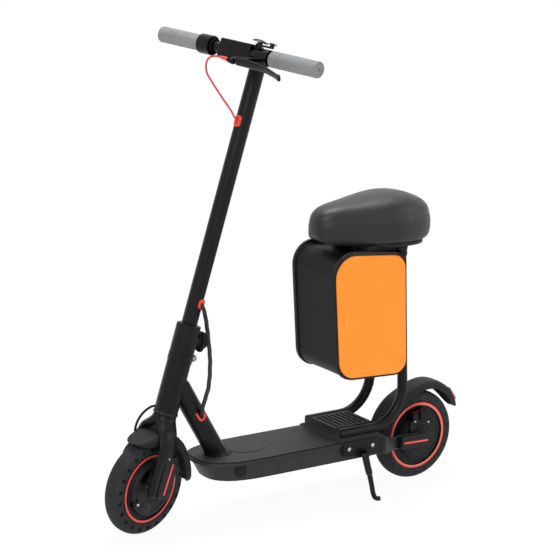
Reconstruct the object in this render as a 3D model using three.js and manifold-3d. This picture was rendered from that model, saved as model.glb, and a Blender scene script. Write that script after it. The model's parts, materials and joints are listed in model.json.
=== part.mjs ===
// Seated electric scooter, in millimetres: +X points to the rear, +Y to the rider's right, +Z up.
// The origin lies on the ground, under the middle of the outer sizes with the handlebar turned.
// The steering stands turned to the left, as it does on the parked scooter.

import * as THREE from 'three';
import { mergeVertices } from 'three/addons/utils/BufferGeometryUtils.js';
import Module from 'manifold-3d';

const wasm = await Module();
wasm.setup();

// Driving dimensions

const gap = 0.3;
const overrun = 4;
const weldDistance = 0.0005;
const tau = 2 * Math.PI;
const sideCount = { wheel: 32, tube: 20, post: 12, rod: 12, pin: 8, cord: 8 };

const wheel = { radius: 108, halfWidth: 22.5, beadRadius: 83, frontX: -390, rearX: 357 };
const tyre = { holes: 18, holeRadius: 3.6, holeCircle: 91, holeSides: 4 };
const axle = { radius: 6, shoulderRadius: 9, nutRadius: 10, nutThickness: 6, endLength: 1 };
const frontHub = { caseRadius: 52, halfWidth: 27, bevel: 3 };
const rearHub = { caseRadius: 46, halfWidth: 26, bevel: 3, windows: 5, windowCircle: 60, windowRadius: 7 };
const rim = { webHalfWidth: 14, bandInner: 77, halfWidth: 20 };
const disc = {
  radius: 55, thickness: 2, innerRadius: 20, carrierRadius: 26, y: -31, holes: 10, holeRadius: 3.5, holeCircle: 46,
};

const steer = { rakeDegrees: 16.4, restDegrees: 15.2, offset: 7 };
const head = { bottom: 163.5, top: 283, radius: 26.5, bore: 19.5, seatRadius: 22.8, seatDepth: 8.3 };
const steerer = { radius: 15, top: 298 };
const frontFenderSize = { clearance: 13, bulge: 6, thickness: 2.6, skirt: 20, startDegrees: 11, endDegrees: 128 };
const forkSize = {
  neckRadius: 25.5, waistRadius: 23, legInner: 36, legOuter: 47, crownOver: 3, crownHalfLength: 19,
  legFront: 38, legRear: 12, dropBelow: 17,
};
const coverSize = {
  thickness: 10, wall: 2.5, front: -16, rear: 17, top: 84, stripInset: 6, stripWidth: 4, stripHeight: 1.2,
  stripBottom: -7, stripTop: 63,
};

const hinge = {
  split: 300, baseRadius: 27.5, sleeveRadius: 27, sleeveTop: 370, bevel: 3, pinX: 29.5, pinDrop: 4, pinRadius: 3.5,
  bossRadius: 7.5, pinHeadRadius: 6, pinHeadThickness: 2.2, tongueHalfWidth: 5, earOuter: 14, webTop: 322,
  webRear: 33, earFront: 15,
};
const latch = {
  pivotX: 38, pivotZ: 348, pinRadius: 3, lugHalfWidth: 4, lugRadius: 7, halfWidth: 14, top: 357, bottom: 311,
  front: 29, rear: 64, cheek: 9, sleeveRoom: 1,
};
const pole = { radius: 17.5, wall: 2.5, overBar: 5.5 };
const poleGrommetSize = { rise: 3, footDepth: 4, spigotRadius: 5.8 };
const upperGrommetSize = { halfWidth: 6.5, halfHeight: 10.5, belowBar: 142, turnDegrees: 180 };
const lowerGrommet = { halfWidth: 8, halfHeight: 11.5, z: 416.6, turnDegrees: -86 };

const bar = { reach: 74.5, height: 960.5, radius: 11, wall: 2, halfLength: 222 };
const grip = { radius: 17.5, leftInner: 96, rightInner: 106, cap: 2, hole: 2.2, round: 2.5 };
const collar = { inner: 72, outer: 105.7, radius: 21.5, round: 1, recessRadius: 17.5, recessDepth: 8 };
const thumb = { ringRadius: 16.5, ringInner: 66, paddleLength: 40, paddleWidth: 15, paddleThickness: 6, rootStep: 1 };
const block = {
  front: 15.5, rear: 28.5, halfWidth: 43, halfHeight: 21, round: 4, armHalfWidth: 19, armHalfHeight: 14,
  socketRadius: 21, socketDrop: 16.5, windowRight: 11, windowMargin: 3.5, windowDepth: 3, windowThickness: 2.2,
};
const button = { radius: 5, height: 4, travel: 1.5, y: 26, x: 12 };
const perch = {
  inner: 62, outer: 91, radius: 17.5, dropDegrees: 36.9, pivotY: -32, pivotReach: 33, pinRadius: 3,
};
const lever = {
  height: 19, tipHeight: 13, wall: 2.2, flange: 12, tipFlange: 5, faceReach: 9.5, rootY: -24, length: 144, swing: 25,
  pinInset: 1, tipRadius: 6,
};
const adjuster = { radius: 5.5, reach: 38, startY: -18, length: 14, collarRadius: 7, collarLength: 5 };
const brakeCableSize = { radius: 2.4, bootRadius: 4, bootLength: 12, bootRoot: 1.2 };
const bellSize = {
  clampInner: 44.5, clampOuter: 59.5, clampRadius: 15, postHeight: 28, postRadius: 6, postRoot: 12.5,
  domeRadius: 18, domeHeight: 7, tiltDegrees: 5, ringLow: 20.6, ringThickness: 4, ringRadius: 9, armHalfWidth: 4,
  armReach: 34, knobRadius: 11, knobTop: 32.5, knobThickness: 4, knobPost: 5,
};

const deck = {
  bottom: 105, rimBottom: 140.5, top: 147.5, halfWidth: 83.5, nose: -265.5, rear: 213, noseLength: 130,
  noseExponent: 2.6, rimStep: 3.5, noseStep: 10, lowerStep: 10, lowerNoseStep: 29, wall: 3, roof: 4, edgeRound: 1.4,
  cornerShare: 0.06,
};
const mat = { inset: 6, thickness: 2.4, rear: 82, badgeX: -119, badgeHalfLength: 46, badgeHalfWidth: 30, badgeRise: 1 };
const coverPlate = { thickness: 3, inset: 1.2 };
const batterySize = { front: -150, rear: 120, halfWidth: 55, height: 32, round: 8 };
const controllerSize = { front: 128, rear: 200, halfWidth: 38, height: 24, fins: 7, finDepth: 4, finWidth: 4 };
const capSize = {
  radius: 14, thickness: 4, sink: 1.2, x: -184, z: 127, plugRadius: 7, plugLength: 4, portRadius: 9, portDepth: 9,
  portWall: 2.5, pinRadius: 1.6, pinLength: 4,
};
const downTube = { radius: 23, footX: -199, slope: 0.594, weldHeight: 14, weldSpread: 5, weldStep: 2, topZ: 330, capZ: 346 };
const neckGrommetSize = { angleDegrees: 85, alongZ: 253, halfLength: 12.5, halfWidth: 10, rise: 3.5, sink: 5.7 };

const stay = {
  front: 91, plateTop: 140, plateBottom: 111, plateRear: 192, armBend: 208, armBottom: 95, armTop: 139,
  narrowX: 262, narrowTop: 130, narrowBottom: 97, thickness: 3.5, axleOuter: 48, endRadius: 19,
};
const stayCoverSize = {
  front: 282, thickness: 10, wall: 3, halfHeight: 17, stripFront: 290, stripRear: 366, stripWidth: 5, stripLift: 2,
  stripHeight: 1,
};
const rearFenderSize = {
  frontClearance: 9.5, rearClearance: 32, thickness: 2.6, halfWidth: 27.5, skirt: 19, startDegrees: 168,
  endDegrees: 22,
  tongueHalfWidth: 18, tongueBottom: 128, tongueTop: 137,
};
const tailSize = { angleDegrees: 37, halfLength: 17, halfWidth: 17, height: 8 };
const caliperSize = {
  angleDegrees: 100, innerRadius: 37, outerRadius: 68, halfLength: 24, inner: 19, slot: 4.5, slotRadius: 58,
  drumRoom: 1.5, round: 5, lugFront: 316, lugRear: 332, lugBottom: 114, lugThickness: 5,
};
const armSize = { pivotRadius: 52, halfWidth: 5, length: 26, thickness: 4 };

const foot = {
  front: 82, rear: 204, top: 176, baseTop: 160, baseHalfWidth: 77, slope: 7, slots: 7, slotWidth: 6.5,
  slotDepth: 9, innerHalfWidth: 48, skirt: 4, lipDrop: 2,
};
const seatTube = { radius: 12, y: 62, lowZ: 165, front: 92, bendX: 185, bendRadius: 86, leanDegrees: 3.7 };
const bridgeSize = { front: -18, rear: 11, halfWidth: 76, thickness: 5, clampRadius: 14, clampHeight: 15, round: 6 };
const pan = { front: 110, rear: 341, halfWidth: 80, height: 8, flange: 7, noseShare: 0.62 };
const saddle = {
  front: 43, rear: 349, bottom: 600, side: 641, top: 711, noseHalfWidth: 62, rearHalfWidth: 95, rings: 20, sides: 24,
  endShare: 0.03, noseCrest: 0.79, rearCrest: 0.12,
};
const bag = {
  rear: 0, frontTop: -206, frontBottom: -199, rearBottom: 33, bottomFront: 54, rearTop: 320, topFront: 349,
  halfWidth: 84, farHalfWidth: 86, wall: 3, frontRound: 48, rearRound: 36, shellInset: 2, padInset: 8.5, padDraw: 6,
  padRise: 3,
};

const stand = {
  pivotX: 146, pivotZ: 120, y: -98, footX: 178, footY: -103, sleeveHalfWidth: 9.5, sleeveHalfDepth: 7.5,
  sleeveLength: 50, legHalfWidth: 6.5, legHalfDepth: 5.5, footHalfWidth: 7.5, bracketHalfLength: 18,
  bracketHalfHeight: 9, bracketThickness: 2, bracketRound: 5, pinRadius: 5, pinEnd: 1,
};

// Cords: the places that each one passes, in the frame named beside it.

const harnessSize = { radius: 4.75, room: 0.6, splitShare: 0.36 };
const harnessUpper = [[0.8, -14.5, 417], [1, -19.3, 415.8], [3.6, -23.8, 409.3], [9.5, -25.6, 400.5],
  [17.5, -25, 391.2], [36, -24, 363.8], [52.2, -24.5, 334.5]]; // in the steering frame
const harnessLower = [[-233.8, -15, 381.3], [-236.3, -20, 356.8], [-240.5, -25, 334.3], [-246.5, -29, 311.9],
  [-255.1, -31.5, 292.6]]; // in the scooter's frame
const harnessEnd = [[8.8, 7.8, 16], [5, 3.2, 6.5], [0, 0.5, -1.5]]; // in the down tube grommet's frame
const motorCableSize = { radius: 2.25 };
const motorCableRoute = [[-13.9, 23.6, 178], [-16.8, 27.9, 175.4], [-27.9, 29.3, 165.4], [-37.4, 31, 152.9],
  [-41.8, 33, 137.9], [-40, 36, 122.9], [-35, 39.3, 109.5], [-29.5, 41.8, 100]]; // in the steering frame
const brakeCableRoute = [[-107, 8, -22], [-110, 26, -22.2], [-108, 45, -28], [-103, 54, -41.6],
  [-93, 55, -59.1], [-78.2, 50, -73.3], [-63.9, 31, -95.1], [-53.2, 20, -108.5], [-40.8, 9, -122.1],
  [-28, 2, -136.5]]; // in the steering frame, from the bar's height

const looks = {
  frame: { color: '#1f2022', roughness: 0.55, metalness: 0.3 },
  plastic: { color: '#202123', roughness: 0.6, metalness: 0 },
  rubber: { color: '#232426', roughness: 0.85, metalness: 0 },
  gloss: { color: '#0b0b0c', roughness: 0.12, metalness: 0 },
  foam: { color: '#8f9092', roughness: 0.9, metalness: 0 },
  red: { color: '#ee5548', roughness: 0.5, metalness: 0 },
  steel: { color: '#b9bbbd', roughness: 0.3, metalness: 1 },
  alloy: { color: '#4a4b4e', roughness: 0.35, metalness: 0.9 },
  leather: { color: '#1b1b1d', roughness: 0.7, metalness: 0 },
  orange: { color: '#ff9a3c', roughness: 0.6, metalness: 0 },
  cell: { color: '#3557a5', roughness: 0.6, metalness: 0 },
  lens: { color: '#d8314a', roughness: 0.2, metalness: 0 },
};

// Worked-out places

const radians = THREE.MathUtils.degToRad;
const rake = radians(steer.rakeDegrees);
const steerOrigin = new THREE.Vector3(
  wheel.frontX + steer.offset * Math.cos(rake), 0, wheel.radius - steer.offset * Math.sin(rake));
const matZ = deck.top + gap;
const lean = radians(seatTube.leanDegrees);
const postBase = new THREE.Vector3(
  seatTube.bendX + seatTube.bendRadius * Math.cos(lean), 0,
  seatTube.lowZ + seatTube.bendRadius * (1 + Math.sin(lean)));
const bridgeTop = saddle.bottom - pan.height - 2 * gap;
const bridgeLow = bridgeTop - bridgeSize.thickness;
const postLength = (bridgeLow - gap - postBase.z) / Math.cos(lean) - seatTube.radius * Math.tan(lean);
const stayOuter = deck.halfWidth + gap + stay.thickness;
const hingePinZ = hinge.split - hinge.pinDrop;
const frontWheelShift = [-steer.offset, 0, 0];
const rearWheelShift = [wheel.rearX, 0, wheel.radius];
const sideShift = bar.reach * Math.sin(radians(steer.restDegrees));
const poleTop = bar.height + pole.overBar;
const frontFenderLow = wheel.radius + frontFenderSize.clearance;
const crownHeight = frontFenderLow + forkSize.crownOver;
const rearFenderLow = wheel.radius + rearFenderSize.frontClearance;
const rearFenderHigh = wheel.radius + rearFenderSize.rearClearance;
const gripEnd = bar.halfLength + grip.cap;
const upperGrommet = { ...upperGrommetSize, z: bar.height - upperGrommetSize.belowBar };

// Solid helpers

function cleanTriangles(geometry) {
  const bare = geometry.clone();
  for (const name of Object.keys(bare.attributes)) {
    if (name !== 'position') bare.deleteAttribute(name);
  }
  const merged = mergeVertices(bare, weldDistance);
  const index = merged.index.array;
  const kept = [];
  for (let i = 0; i < index.length; i += 3) {
    const [a, b, c] = [index[i], index[i + 1], index[i + 2]];
    if (a !== b && b !== c && c !== a) kept.push(a, b, c);
  }
  return { vertices: new Float32Array(merged.attributes.position.array), triangles: new Uint32Array(kept) };
}

function signedVolume(vertices, triangles) {
  const corner = (i) => new THREE.Vector3().fromArray(vertices, 3 * triangles[i]);
  let sum = 0;
  for (let i = 0; i < triangles.length; i += 3) {
    sum += corner(i).dot(corner(i + 1).cross(corner(i + 2)));
  }
  return sum;
}

function solid(geometry) {
  const { vertices, triangles } = cleanTriangles(geometry);
  if (signedVolume(vertices, triangles) < 0) {
    for (let i = 0; i < triangles.length; i += 3) {
      [triangles[i], triangles[i + 1]] = [triangles[i + 1], triangles[i]];
    }
  }
  return new wasm.Manifold(new wasm.Mesh({ numProp: 3, vertProperties: vertices, triVerts: triangles }));
}

function join(...solids) {
  return solids.reduce((all, next) => all.add(next));
}

function cut(body, ...tools) {
  return tools.reduce((left, tool) => left.subtract(tool), body);
}

function moved(body, x, y, z) {
  return body.translate([x, y, z]);
}

function mirrored(body) {
  return body.mirror([0, 1, 0]);
}

function placed(body, matrix) {
  return body.transform(matrix.elements);
}

function named(name, body, look) {
  const mesh = body.getMesh();
  const geometry = new THREE.BufferGeometry();
  geometry.setAttribute('position', new THREE.BufferAttribute(new Float32Array(mesh.vertProperties), 3));
  geometry.setIndex(new THREE.BufferAttribute(new Uint32Array(mesh.triVerts), 1));
  geometry.computeVertexNormals();
  const result = new THREE.Mesh(geometry, new THREE.MeshStandardMaterial({ ...look }));
  result.name = name;
  return result;
}

// A closed skin through rings of equal length, each ring a closed loop of points.
function loft(rings) {
  const count = rings[0].length;
  const positions = rings.flat().flatMap((point) => [point.x, point.y, point.z]);
  const faces = [];
  for (let i = 0; i + 1 < rings.length; i += 1) {
    for (let j = 0; j < count; j += 1) {
      const [a, b] = [i * count + j, i * count + (j + 1) % count];
      faces.push(a, b, b + count, a, b + count, a + count);
    }
  }
  const last = (rings.length - 1) * count;
  faces.push(...capFaces(rings[0], 0, -1));
  faces.push(...capFaces(rings[rings.length - 1], last, 1));
  const geometry = new THREE.BufferGeometry();
  geometry.setAttribute('position', new THREE.Float32BufferAttribute(positions, 3));
  geometry.setIndex(faces);
  return solid(geometry.toNonIndexed());
}

function capFaces(ring, offset, facing) {
  const normal = new THREE.Vector3();
  ring.forEach((point, i) => {
    const next = ring[(i + 1) % ring.length];
    normal.add(new THREE.Vector3().crossVectors(point, next));
  });
  const size = normal.toArray().map(Math.abs);
  const axes = [0, 1, 2].filter((axis) => axis !== size.indexOf(Math.max(...size)));
  const flat = ring.map((point) => new THREE.Vector2(...axes.map((axis) => point.getComponent(axis))));
  const turn = Math.sign(THREE.ShapeUtils.area(flat));
  const faces = [];
  for (const [a, b, c] of THREE.ShapeUtils.triangulateShape(flat, [])) {
    const same = Math.sign(THREE.ShapeUtils.area([flat[a], flat[b], flat[c]])) === turn;
    const forward = same === (facing > 0);
    faces.push(...(forward ? [a, b, c] : [a, c, b]).map((i) => i + offset));
  }
  return faces;
}

function shapeOf(points) {
  return new THREE.Shape(points.map(([x, y]) => new THREE.Vector2(x, y)));
}

function circlePoints(radius, sides, x = 0, y = 0) {
  return Array.from({ length: sides }, (_, i) => {
    const angle = tau * (i + 0.5) / sides;
    return [x + radius * Math.cos(angle), y + radius * Math.sin(angle)];
  });
}

function arcPoints(radius, fromAngle, toAngle, steps, x = 0, y = 0) {
  return Array.from({ length: steps + 1 }, (_, i) => {
    const angle = fromAngle + (toAngle - fromAngle) * i / steps;
    return [x + radius * Math.cos(angle), y + radius * Math.sin(angle)];
  });
}

function roundedPoints(x0, y0, x1, y1, radius, steps = 4) {
  const centres = [[x1 - radius, y1 - radius], [x0 + radius, y1 - radius],
    [x0 + radius, y0 + radius], [x1 - radius, y0 + radius]];
  return centres.flatMap(([x, y], corner) => Array.from({ length: steps + 1 }, (_, i) => {
    const angle = (corner + i / steps) * tau / 4;
    return [x + radius * Math.cos(angle), y + radius * Math.sin(angle)];
  }));
}

// A flat outline in X and Z, thickened from one Y to another.
function plateXZ(points, yLow, yHigh) {
  const geometry = new THREE.ExtrudeGeometry(shapeOf(points), { depth: yHigh - yLow, bevelEnabled: false });
  geometry.rotateX(tau / 4);
  geometry.translate(0, yHigh, 0);
  return solid(geometry);
}

// A flat outline in X and Y, thickened from one Z to another.
function plateXY(points, zLow, zHigh) {
  const geometry = new THREE.ExtrudeGeometry(shapeOf(points), { depth: zHigh - zLow, bevelEnabled: false });
  geometry.translate(0, 0, zLow);
  return solid(geometry);
}

// A flat outline in Y and Z, thickened from one X to another.
function plateYZ(points, xLow, xHigh) {
  const geometry = new THREE.ExtrudeGeometry(shapeOf(points), { depth: xHigh - xLow, bevelEnabled: false });
  geometry.rotateX(tau / 4);
  geometry.rotateZ(tau / 4);
  geometry.translate(xLow, 0, 0);
  return solid(geometry);
}

function boxSolid(x0, x1, y0, y1, z0, z1) {
  const geometry = new THREE.BoxGeometry(x1 - x0, y1 - y0, z1 - z0);
  geometry.translate((x0 + x1) / 2, (y0 + y1) / 2, (z0 + z1) / 2);
  return solid(geometry);
}

// A turned profile of radius and height, about the Y or the Z axis.
function turned(profile, steps, axis = 'y') {
  const geometry = new THREE.LatheGeometry(profile.map(([r, h]) => new THREE.Vector2(r, h)), steps);
  if (axis === 'z') geometry.rotateX(tau / 4);
  return solid(geometry);
}

function ringProfile(inner, outer, low, high) {
  return [[inner, low], [outer, low], [outer, high], [inner, high], [inner, low]];
}

function rodProfile(radius, low, high) {
  return [[0, low], [radius, low], [radius, high], [0, high]];
}

function rodY(radius, low, high, steps = 24) {
  return turned(rodProfile(radius, low, high), steps, 'y');
}

function rodZ(radius, low, high, steps = 24) {
  return turned(rodProfile(radius, low, high), steps, 'z');
}

function pipe(curve, radius, sides, steps) {
  const geometry = new THREE.ExtrudeGeometry(shapeOf(circlePoints(radius, sides)), {
    extrudePath: curve, steps, bevelEnabled: false,
  });
  return solid(geometry);
}

function smoothCurve(points) {
  return new THREE.CatmullRomCurve3(points.map((point) => new THREE.Vector3(...point)), false, 'centripetal');
}

function rakeMatrix() {
  return new THREE.Matrix4().makeRotationY(rake).setPosition(steerOrigin);
}

function steeredMatrix() {
  const turn = new THREE.Matrix4().makeRotationZ(radians(steer.restDegrees));
  return rakeMatrix().multiply(turn);
}

// Wheels

function tyreSolid() {
  const band = wheel.radius - wheel.beadRadius;
  const halfShares = [[0, 0.84], [0.3, 1], [0.62, 0.96], [0.86, 0.76], [1, 0.38]];
  const half = halfShares.map(([r, w]) => [wheel.beadRadius + band * r, wheel.halfWidth * w]);
  const profile = [...half, ...half.toReversed().map(([r, y]) => [r, -y])];
  profile.push(profile[0]);
  const reach = wheel.halfWidth + overrun;
  const holes = aroundCircle(tyre.holes, tyre.holeCircle, 0.5).map(([x, z]) => plateXZ(
    circlePoints(tyre.holeRadius, tyre.holeSides, x, z), -reach, reach));
  return cut(turned(profile, sideCount.wheel), join(...holes));
}

function aroundCircle(count, radius, startShare = 0) {
  return Array.from({ length: count }, (_, i) => {
    const angle = tau * (i + startShare) / count;
    return [radius * Math.cos(angle), radius * Math.sin(angle)];
  });
}

// One wheel body: the drum in the middle, the web and the flat ring beside the tyre.
function rimSolid(drum) {
  const lip = wheel.beadRadius - gap;
  const half = [
    [axle.radius + gap, drum.halfWidth], [drum.caseRadius - drum.bevel, drum.halfWidth],
    [drum.caseRadius, drum.halfWidth - drum.bevel], [drum.caseRadius + drum.bevel, rim.webHalfWidth],
    [rim.bandInner - drum.bevel, rim.webHalfWidth], [rim.bandInner, rim.halfWidth], [lip, rim.halfWidth],
  ];
  const profile = [...half, ...half.toReversed().map(([r, y]) => [r, -y])];
  profile.push(profile[0]);
  return turned(profile, sideCount.wheel);
}

function rearRimSolid() {
  const reach = rim.webHalfWidth + overrun;
  const windows = aroundCircle(rearHub.windows, rearHub.windowCircle).map(([x, z]) => plateXZ(
    circlePoints(rearHub.windowRadius, sideCount.pin, x, z), -reach, reach));
  return cut(rimSolid(rearHub), join(...windows));
}

function discSolid() {
  const half = disc.thickness / 2;
  const [low, high] = [disc.y - half, disc.y + half];
  const holes = aroundCircle(disc.holes, disc.holeCircle).map(([x, z]) => plateXZ(
    circlePoints(disc.holeRadius, 5, x, z), low - overrun, high + overrun));
  const plate = cut(turned(ringProfile(disc.innerRadius, disc.radius, low, high), sideCount.wheel), join(...holes));
  const carrier = turned(ringProfile(axle.radius + gap, disc.carrierRadius, high - gap, -rearHub.halfWidth - gap),
    sideCount.tube);
  return join(plate, carrier);
}

// An axle with two shoulders between the wheel and the arms, and a nut outside each arm.
function axleSolid(leftInner, rightInner, armInner, armOuter) {
  const reach = armOuter + gap + axle.nutThickness + axle.endLength;
  const shaft = rodY(axle.radius, -reach, reach, sideCount.rod);
  const nutLow = armOuter + gap;
  const nut = (low) => rodY(axle.nutRadius, low, low + axle.nutThickness, 6);
  const leftShoulder = rodY(axle.shoulderRadius, -armInner + gap, -leftInner - gap, sideCount.rod);
  const rightShoulder = rodY(axle.shoulderRadius, rightInner + gap, armInner - gap, sideCount.rod);
  return join(shaft, leftShoulder, rightShoulder, nut(nutLow), nut(-nutLow - axle.nutThickness));
}

// Fenders: a thin channel with turned-down sides, swept round the wheel.
function fenderSolid(size, halfWidth, radiusAt, widthShareAt) {
  const steps = 12;
  const [from, to] = [radians(size.startDegrees), radians(size.endDegrees)];
  const sectionShares = [[-1, 1], [-1, 0.4], [-0.8, 0.1], [-0.4, 0], [0.4, 0], [0.8, 0.1], [1, 0.4], [1, 1]];
  const rings = Array.from({ length: steps + 1 }, (_, i) => {
    const share = i / steps;
    const angle = from + (to - from) * share;
    const width = halfWidth * widthShareAt(share);
    const skirt = size.skirt * widthShareAt(share) ** 2;
    const place = (y, depth) => {
      const r = radiusAt(share) - depth;
      return new THREE.Vector3(r * Math.cos(angle), y, r * Math.sin(angle));
    };
    const outer = sectionShares.map(([w, d]) => place(w * width, d * skirt));
    const inner = sectionShares.toReversed().map(([w, d]) => place(
      w * (width - size.thickness), size.thickness + d * (skirt - size.thickness / 2)));
    return [...outer, ...inner];
  });
  return loft(rings);
}

function smoothShare(share, from, to) {
  return THREE.MathUtils.smoothstep(share, from, to);
}

// The share of the full width near a fender's two ends: a quarter round that starts at a least share.
function endTaper(share, startShare, endShare, startLeastShare, endLeastShare) {
  const fall = (t, least) => least + (1 - least) * Math.sqrt(1 - (1 - Math.min(1, t)) ** 2);
  return fall(share / startShare, startLeastShare) * fall((1 - share) / endShare, endLeastShare);
}

// Front fork, in the steering frame

function ellipseRing(halfX, halfY, z, sides, x = 0, y = 0, squareness = 2) {
  return Array.from({ length: sides }, (_, i) => {
    const angle = tau * i / sides;
    const [c, s] = [Math.cos(angle), Math.sin(angle)];
    const power = 2 / squareness;
    return new THREE.Vector3(
      x + halfX * Math.sign(c) * Math.abs(c) ** power, y + halfY * Math.sign(s) * Math.abs(s) ** power, z);
  });
}

function forkLeg(side) {
  const bottom = -forkSize.dropBelow;
  // Each row: shares of the leg's height, its front and rear reach, and its thickness.
  const rowShares = [[0, 0.45, 0.3, 1], [0.05, 0.72, 0.8, 1], [0.14, 0.87, 1, 1], [0.4, 1, 1, 1], [0.62, 0.95, 1.05, 1],
    [0.85, 0.7, 1.4, 0.8], [1, 0.5, 1.6, 0.6]];
  const rings = rowShares.map(([heightShare, frontShare, rearShare, thickShare]) => {
    const z = bottom + (crownHeight - bottom) * heightShare;
    const [front, rear] = [-forkSize.legFront * frontShare, forkSize.legRear * rearShare];
    const halfY = (forkSize.legOuter - forkSize.legInner) * thickShare / 2;
    return ellipseRing((rear - front) / 2, halfY, z, 12, (rear + front) / 2, side * (forkSize.legInner + halfY), 3);
  });
  return loft(rings);
}

function forkCrown() {
  const rise = head.bottom - gap - crownHeight;
  const { neckRadius, waistRadius, crownHalfLength, legOuter } = forkSize;
  const rows = [
    [1, neckRadius, neckRadius, 2], [0.7, waistRadius, waistRadius, 2], [0.44, waistRadius, waistRadius * 1.2, 2.2],
    [0.2, crownHalfLength * 1.12, legOuter * 0.78, 2.6], [0, crownHalfLength * 1.1, legOuter * 0.9, 3],
    [-0.4, crownHalfLength * 0.9, legOuter * 0.97, 3],
  ];
  return loft(rows.map(([share, halfX, halfY, square]) => ellipseRing(
    halfX, halfY, crownHeight + rise * share, 20, 0, 0, square)));
}

function forkSolid() {
  const shaft = rodZ(steerer.radius, crownHeight, steerer.top, sideCount.tube);
  const archOutline = Array.from({ length: 41 }, (_, i) => {
    const angle = Math.PI * i / 40;
    const radius = frontFenderRadius(frontFenderShare(angle)) + gap;
    return [radius * Math.cos(angle), radius * Math.sin(angle)];
  });
  const below = [[-frontFenderLow, -wheel.radius], [frontFenderLow, -wheel.radius]];
  const arch = moved(plateXZ([...archOutline, ...below], -forkSize.legInner, forkSize.legInner), ...frontWheelShift);
  const axleHole = moved(rodY(axle.radius + gap, -wheel.radius, wheel.radius, sideCount.rod), ...frontWheelShift);
  return cut(join(forkCrown(), shaft, forkLeg(1), forkLeg(-1)), arch, axleHole);
}

function forkCover(side) {
  const inner = forkSize.legOuter + gap;
  const outer = inner + coverSize.thickness;
  const [middle, half] = [(coverSize.front + coverSize.rear) / 2, (coverSize.rear - coverSize.front) / 2];
  const outline = arcPoints(half, Math.PI, tau, 10, middle);
  const topShares = [[1, 0.45], [0.72, 0.9], [0.35, 1], [-0.2, 0.97], [-0.75, 0.75]];
  outline.push(...topShares.map(([xShare, zShare]) => [middle + half * xShare, coverSize.top * zShare]));
  const pocket = moved(rodY(axle.nutRadius + 2 * gap, inner - overrun, outer - coverSize.wall, sideCount.rod),
    ...frontWheelShift);
  const stripX = coverSize.rear - coverSize.stripInset;
  const strip = boxSolid(stripX, stripX + coverSize.stripWidth, outer - gap, outer + coverSize.stripHeight,
    coverSize.stripBottom, coverSize.stripTop);
  const body = join(cut(plateXZ(outline, inner, outer), pocket), strip);
  return side > 0 ? body : mirrored(body);
}

function frontFenderShare(angle) {
  const { startDegrees, endDegrees } = frontFenderSize;
  return Math.min(1, Math.max(0, (angle - radians(startDegrees)) / radians(endDegrees - startDegrees)));
}

// The fender stands a little higher under the fork's crown than at its two ends.
function frontFenderRadius(share) {
  const swell = smoothShare(share, 0.23, 0.49) * (1 - smoothShare(share, 0.66, 1));
  return frontFenderLow + frontFenderSize.bulge * swell;
}

function frontFender() {
  const body = fenderSolid(frontFenderSize, forkSize.legInner - gap, frontFenderRadius,
    (share) => endTaper(share, 0.08, 0.14, 0.55, 0.55));
  return moved(body, ...frontWheelShift);
}

function bearingSolid(low) {
  const profile = ringProfile(steerer.radius + gap, head.seatRadius - gap, low, low + head.seatDepth - gap);
  return turned(profile, sideCount.tube, 'z');
}

// Fold hinge, in the steering frame

function aboutHingePin(radius, low, high) {
  return moved(rodY(radius, low, high, sideCount.rod), hinge.pinX, 0, hingePinZ);
}

function hingeBase() {
  const bottom = head.top + gap;
  const top = hinge.split - gap;
  const ringBody = turned(ringProfile(steerer.radius + gap, hinge.baseRadius, bottom, top), sideCount.tube, 'z');
  const earPoints = [
    [hinge.earFront, bottom], ...arcPoints(hinge.bossRadius, -tau / 4, tau / 2, 9, hinge.pinX, hingePinZ),
    [hinge.earFront, hingePinZ],
  ];
  const inner = hinge.tongueHalfWidth + gap;
  const ear = plateXZ(earPoints, inner, hinge.earOuter);
  const bore = rodZ(steerer.radius + gap, bottom - overrun, top + overrun, sideCount.tube);
  const tongueRoom = aboutHingePin(hinge.bossRadius + gap, -inner, inner);
  const pinHole = aboutHingePin(hinge.pinRadius + gap, -wheel.radius, wheel.radius);
  return cut(join(ringBody, ear, mirrored(ear)), bore, tongueRoom, pinHole);
}

function hingePin() {
  const reach = hinge.earOuter + gap;
  const end = reach + hinge.pinHeadThickness;
  const headBody = aboutHingePin(hinge.pinHeadRadius, reach, end);
  return join(aboutHingePin(hinge.pinRadius, -end, end), headBody, mirrored(headBody));
}

function stemPole() {
  const bore = pole.radius - pole.wall;
  const low = hinge.split + gap;
  const profile = [
    [bore, low], [hinge.sleeveRadius, low], [hinge.sleeveRadius, hinge.sleeveTop - hinge.bevel],
    [pole.radius, hinge.sleeveTop], [pole.radius, poleTop], [bore, poleTop], [bore, low],
  ];
  const tube = turned(profile, 24, 'z');
  const half = hinge.tongueHalfWidth;
  const boss = aboutHingePin(hinge.bossRadius, -half, half);
  const webFront = hinge.sleeveRadius - overrun;
  const web = plateXZ([[webFront, low], [hinge.webRear, low], [hinge.webRear, hinge.webTop - hinge.bossRadius],
    [webFront, hinge.webTop]], -half, half);
  const lug = plateXZ([[webFront, latch.pivotZ - latch.lugRadius],
    ...arcPoints(latch.lugRadius, -tau / 4, tau / 4, 8, latch.pivotX, latch.pivotZ),
    [webFront, latch.pivotZ + latch.lugRadius]], -latch.lugHalfWidth, latch.lugHalfWidth);
  const lugHole = moved(rodY(latch.pinRadius + gap, -latch.halfWidth, latch.halfWidth, sideCount.pin),
    latch.pivotX, 0, latch.pivotZ);
  const pinHole = aboutHingePin(hinge.pinRadius + gap, -half - overrun, half + overrun);
  const earRoom = aboutHingePin(hinge.bossRadius + gap, half, hinge.earOuter + gap);
  return cut(join(cut(tube, earRoom, mirrored(earRoom)), boss, web, lug), lugHole, pinHole,
    poleHole(upperGrommet), poleHole(lowerGrommet));
}

// A hole in the pole's wall and the oval grommet that fills it, turned about the pole to their side.
function poleTurn(place) {
  return new THREE.Matrix4().makeRotationZ(radians(place.turnDegrees));
}

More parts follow.
